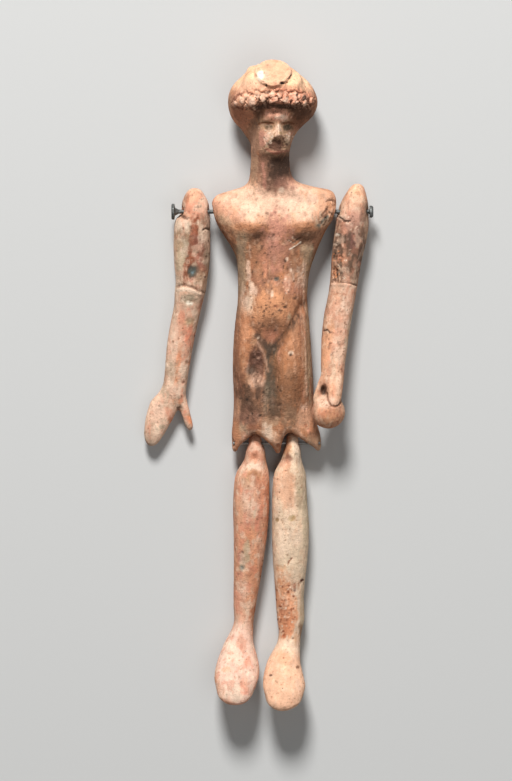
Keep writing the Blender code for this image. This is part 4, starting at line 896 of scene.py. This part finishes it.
LEFT_LEG_RELIEF = (
    Dent(289, 459, 3.4, 3.4, -0.3), Line((292.5, 437, 294, 448, 293.6, 458), 0.9, 0.14, 0.5),
    Dent(277.4, 519.4, 1.6, 1.6, -0.18), Dent(291, 518.4, 2, 1.4, -0.15),
    Dent(291, 559, 1.4, 1, -0.25, -40), Dent(288.4, 563, 1.2, 0.9, -0.2, -40),
    Dent(302.4, 580.4, 1.6, 1.1, -0.35, -20), Dent(300.4, 583.6, 1.1, 0.9, -0.25),
    Dent(295, 591, 1.2, 1.2, -0.2), Chip(287, 608, 11, 27, 0.1), Dent(297.6, 667.6, 1.2, 1.1, -0.25),
    Dent(271, 675.6, 1.3, 0.9, -0.25), Dent(293, 639, 1.2, 1.1, -0.2), Dent(285.6, 470.8, 1.4, 0.8, -0.2),
    Dent(276.6, 475.4, 1.1, 0.9, -0.2),
)
LEFT_LEG_PAINT = (
    (287, 446, 5, 14, (72, 49, 35), 85, 40), (296.6, 449, 4.2, 15, CREAM, 70, 50, -8),
    (289.5, 458, 5.5, 5, (56, 38, 30), 80, 50), (296.4, 454, 1.6, 1.4, ASH, 70, 50),
    (286, 464, 8, 4, SALMON, 50), (285.6, 471, 1.5, 0.8, RUST, 90, 30), (285, 488, 10, 20, PEACH, 75, 50),
    (291, 478, 3, 14, (80, 59, 46), 50, 70), (301, 490, 5, 24, (68, 58, 47), 65),
    (300, 490, 2.6, 3.6, GREIGE, 70), (277.4, 519.6, 1.9, 2.3, (58, 46, 32), 85, 40),
    (292, 518, 3.2, 2.4, (64, 52, 34), 80, 50, -20), (290.5, 520.4, 2, 1.2, (64, 52, 34), 70, 40),
    (305.5, 515, 3, 28, GREIGE, 55, 50), (285, 540, 11, 18, (91, 79, 69), 50),
    Streak((292, 558, 289.6, 560.6, 288, 564.4), 0.8, RUST, 95, 40),
    (291, 559.4, 1.5, 0.9, UMBER, 70, 40, -35), (281, 568, 6, 2.8, (80, 63, 49), 70),
    (286, 609, 11.5, 32, (84, 57, 42), 90, 50), (282, 585, 6, 7, (76, 53, 38), 60),
    (290, 625, 7, 13, (78, 49, 34), 60), (284.5, 610, 4, 9, (62, 38, 27), 50, 90),
    (293, 588, 4, 4, (60, 42, 34), 60, 90), (295, 591, 1.4, 1.4, (42, 34, 32), 70),
    (293.6, 596, 1.6, 2, CREAM, 85), (286.6, 604, 3, 2.4, PALE, 70, 90),
    (302, 580.6, 1.9, 1.2, (30, 14, 10), 100, 30, -25), (302.4, 612, 2.6, 24, GREIGE, 70, 40, 2),
    (301, 632, 2.6, 9, BROWN, 50, 40, -10), (284, 637, 3, 2.2, (70, 38, 24), 70, 50),
    (284, 646, 9, 6, CREAM, 70, 90, -12), (295.5, 640, 3, 8, (78, 58, 44), 70, 50),
    (293, 639, 1.4, 1.2, BROWN, 80, 40), (285, 686, 25, 36, (90, 70, 57), 90, 12),
    (286, 658, 8, 6, (88, 65, 51), 60), (297.6, 667.8, 1.4, 1.4, BROWN, 85, 40),
    (271, 675.8, 1.7, 0.9, UMBER, 80, 40), (298, 685, 2, 6, PALE, 50, 70, -20),
    (297.6, 648, 2.4, 9, PALE, 50, 40),
)

TORSO = Marks(
    (66, 46, 34),
    (
        (9, ORANGE, 50, 0.1), (5, ROSE, 45, 0.25), (2.6, TAN, 50, 0.3), (1.4, BROWN, 50, 0.35),
        (1.1, PALE, 35, 0.45),
    ),
    ((1.2, UMBER, 16, 0.35), (0.9, PALE, 25, 0.46), (0.5, SOIL_AND_SHADE, 25, 0.6)),
    TORSO_RELIEF, TORSO_PAINT,
    (
        (272, 275, 27, 52, 55, 1, UMBER, 1), (270, 318, 18, 14, 16, 1.1, UMBER, 2),
        (275, 225, 34, 20, 22, 0.8, BROWN, 3), (264, 398, 24, 28, 26, 1, SOIL_AND_SHADE, 4),
        (294, 280, 12, 24, 16, 0.9, CREAM, 5), (269, 138, 6, 8, 14, 1, CREAM, 21),
        # The umber specks at the mouth add to its painted shade
        (289, 138, 4.5, 6, 10, 1, CREAM, 22), (277, 145, 11, 6, 18, 0.9, UMBER, 23),
        (276, 118, 14, 5, 8, 0.8, RUST, 24),
    ),
)
RIGHT_ARM = Marks(
    (79, 66, 56),
    ((6, PALE, 50, 0.1), (2.4, ASH, 30, 0.35)),
    ((1.5, CREAM, 45, 0.2), (1.2, (78, 50, 40), 25, 0.3), (0.9, ASH, 35, 0.4), (0.5, UMBER, 40, 0.58)),
    RIGHT_ARM_RELIEF, RIGHT_ARM_PAINT,
    ((197, 240, 14, 46, 34, 0.9, UMBER, 6), (183, 345, 15, 55, 22, 0.8, BROWN, 7)),
)
LEFT_ARM = Marks(
    (75, 60, 49),
    ((6, PEACH, 40, 0.1), (2.4, ASH, 30, 0.35)),
    ((1.5, CREAM, 35, 0.2), (1.3, (78, 52, 41), 35, 0.25), (0.8, BROWN, 30, 0.4), (0.5, UMBER, 40, 0.56)),
    LEFT_ARM_RELIEF, LEFT_ARM_PAINT,
    (
        (348, 246, 16, 40, 26, 0.8, UMBER, 8), (346, 245, 13, 38, 16, 0.9, CREAM, 9),
        (337, 266, 4.5, 15, 22, 1, SOIL_AND_SHADE, 31), (337, 264, 4.5, 16, 14, 1, (88, 57, 38), 32),
        (340, 330, 14, 45, 20, 0.8, BROWN, 10), (331, 415, 14, 12, 22, 0.9, RUST, 11),
    ),
)
RIGHT_LEG = Marks(
    (83, 61, 48),
    ((5, PALE, 50, 0.15), (2.2, SALMON, 50, 0.25), (1.2, GREIGE, 30, 0.4)),
    ((1.4, CREAM, 45, 0.28), (1.1, (80, 50, 40), 35, 0.36), (0.5, BROWN, 40, 0.55)),
    RIGHT_LEG_RELIEF, RIGHT_LEG_PAINT,
    ((250, 540, 16, 70, 24, 0.8, BROWN, 12),),
)
LEFT_LEG = Marks(
    (88, 77, 65),
    ((6, PALE, 40, 0.1), (2, GREIGE, 25, 0.35), (1.1, PEACH, 25, 0.4)),
    ((1.2, PEACH, 25, 0.4), (0.9, CREAM, 35, 0.4), (0.45, BROWN, 40, 0.62)),
    LEFT_LEG_RELIEF, LEFT_LEG_PAINT,
    (
        (288, 500, 15, 40, 18, 0.7, BROWN, 13), (285, 608, 11, 30, 44, 1.1, (50, 27, 17), 14),
        (287, 605, 10, 26, 24, 0.9, CREAM, 15), (285, 680, 20, 30, 14, 0.7, RUST, 16),
    ),
)

torso_look = clay_material("worn_brown_clay", 0.36, 0.20, 0.65)
limb_look = clay_material("worn_pale_clay", 0.18, 0.15, 0.5)
rod_look = metal_material("dull_iron", (0.15, 0.155, 0.15), (0.05, 0.05, 0.045), 0.6, 0.5)
wire_look = metal_material("dull_wire", (0.45, 0.46, 0.45), (0.18, 0.17, 0.15), 0.8, 0.42)

torso = evened_copy("torso_and_head", BODY_VOXEL, BODY_ROUNDS)
add_hair(torso)
add_disc(torso)
remesh(torso, DRESSED_VOXEL)
refine(torso, FACE_LOW, FACE_HIGH)
finish_clay(torso, "torso_and_head", torso_look, TORSO, 100, fringe=True)

for node, marks, seed in (
    ("right_arm", RIGHT_ARM, 200), ("left_arm", LEFT_ARM, 300),
    ("right_leg", RIGHT_LEG, 400), ("left_leg", LEFT_LEG, 500),
):
    limb = evened_copy(node, LIMB_VOXEL, LIMB_ROUNDS)
    finish_clay(limb, node, limb_look, marks, seed)

rod = evened_copy("shoulder_rod", ROD_VOXEL, ROD_ROUNDS)
move_mesh(rod.data, boxed(mesh_points(rod.data), "shoulder_rod"))
dress(rod, "shoulder_rod", rod_look)

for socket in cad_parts["knee_wire"].material_slots:
    socket.material = wire_look

# Floor, light and camera. The floor lies a hair under the doll, so that the two never share a plane.
FLOOR_HALF = 4.0
FLOOR_DROP = 0.05 * MM


def plain_floor():
    mesh = bpy.data.meshes.new("floor")
    h = FLOOR_HALF
    mesh.from_pydata([(-h, -h, 0), (h, -h, 0), (h, h, 0), (-h, h, 0)], [], [(0, 1, 2, 3)])
    floor = add_object("floor", mesh)
    floor.location.z = -FLOOR_DROP
    graph = Graph("pale_floor", Roughness=0.75, Base_Color=(0.52, 0.52, 0.51, 1), Specular_IOR_Level=0.2)
    mesh.materials.append(graph.material)


def soft_light(name, place, size, power):
    """A round soft light that points at the middle of the doll, sizes in metres and power in watts."""
    light = bpy.data.lights.new(name, "AREA")
    light.shape = "DISK"
    light.size = size
    light.energy = power
    lamp = add_object(name, light)
    lamp.location = place
    lamp.rotation_euler = (-Vector(place)).to_track_quat("-Z", "Y").to_euler()


plain_floor()
soft_light("key", (-0.14, 1.02, 0.86), 0.36, 27.5)
soft_light("fill", (0.25, -0.15, 0.9), 0.7, 1.4)
world = bpy.data.worlds.new("studio")
world.use_nodes = True
background = world.node_tree.nodes["Background"]
background.inputs["Color"].default_value = (1.0, 1.0, 1.0, 1)
background.inputs["Strength"].default_value = 0.16
bpy.context.scene.world = world

lens = bpy.data.cameras.new("view")
lens.lens = 600
lens.sensor_fit = "VERTICAL"
lens.sensor_height = 36
lens.clip_end = 20
viewer = add_object("view", lens)
aim = Vector((-0.57, -1.98, 6.0)) * MM
viewer.location = aim + Vector(VIEW) * (VIEW_HIGH * STEP * MM) * lens.lens / lens.sensor_height
viewer.rotation_euler = (-TILT, 0, 0)
bpy.context.scene.camera = viewer
bpy.context.scene.view_settings.view_transform = "Standard"
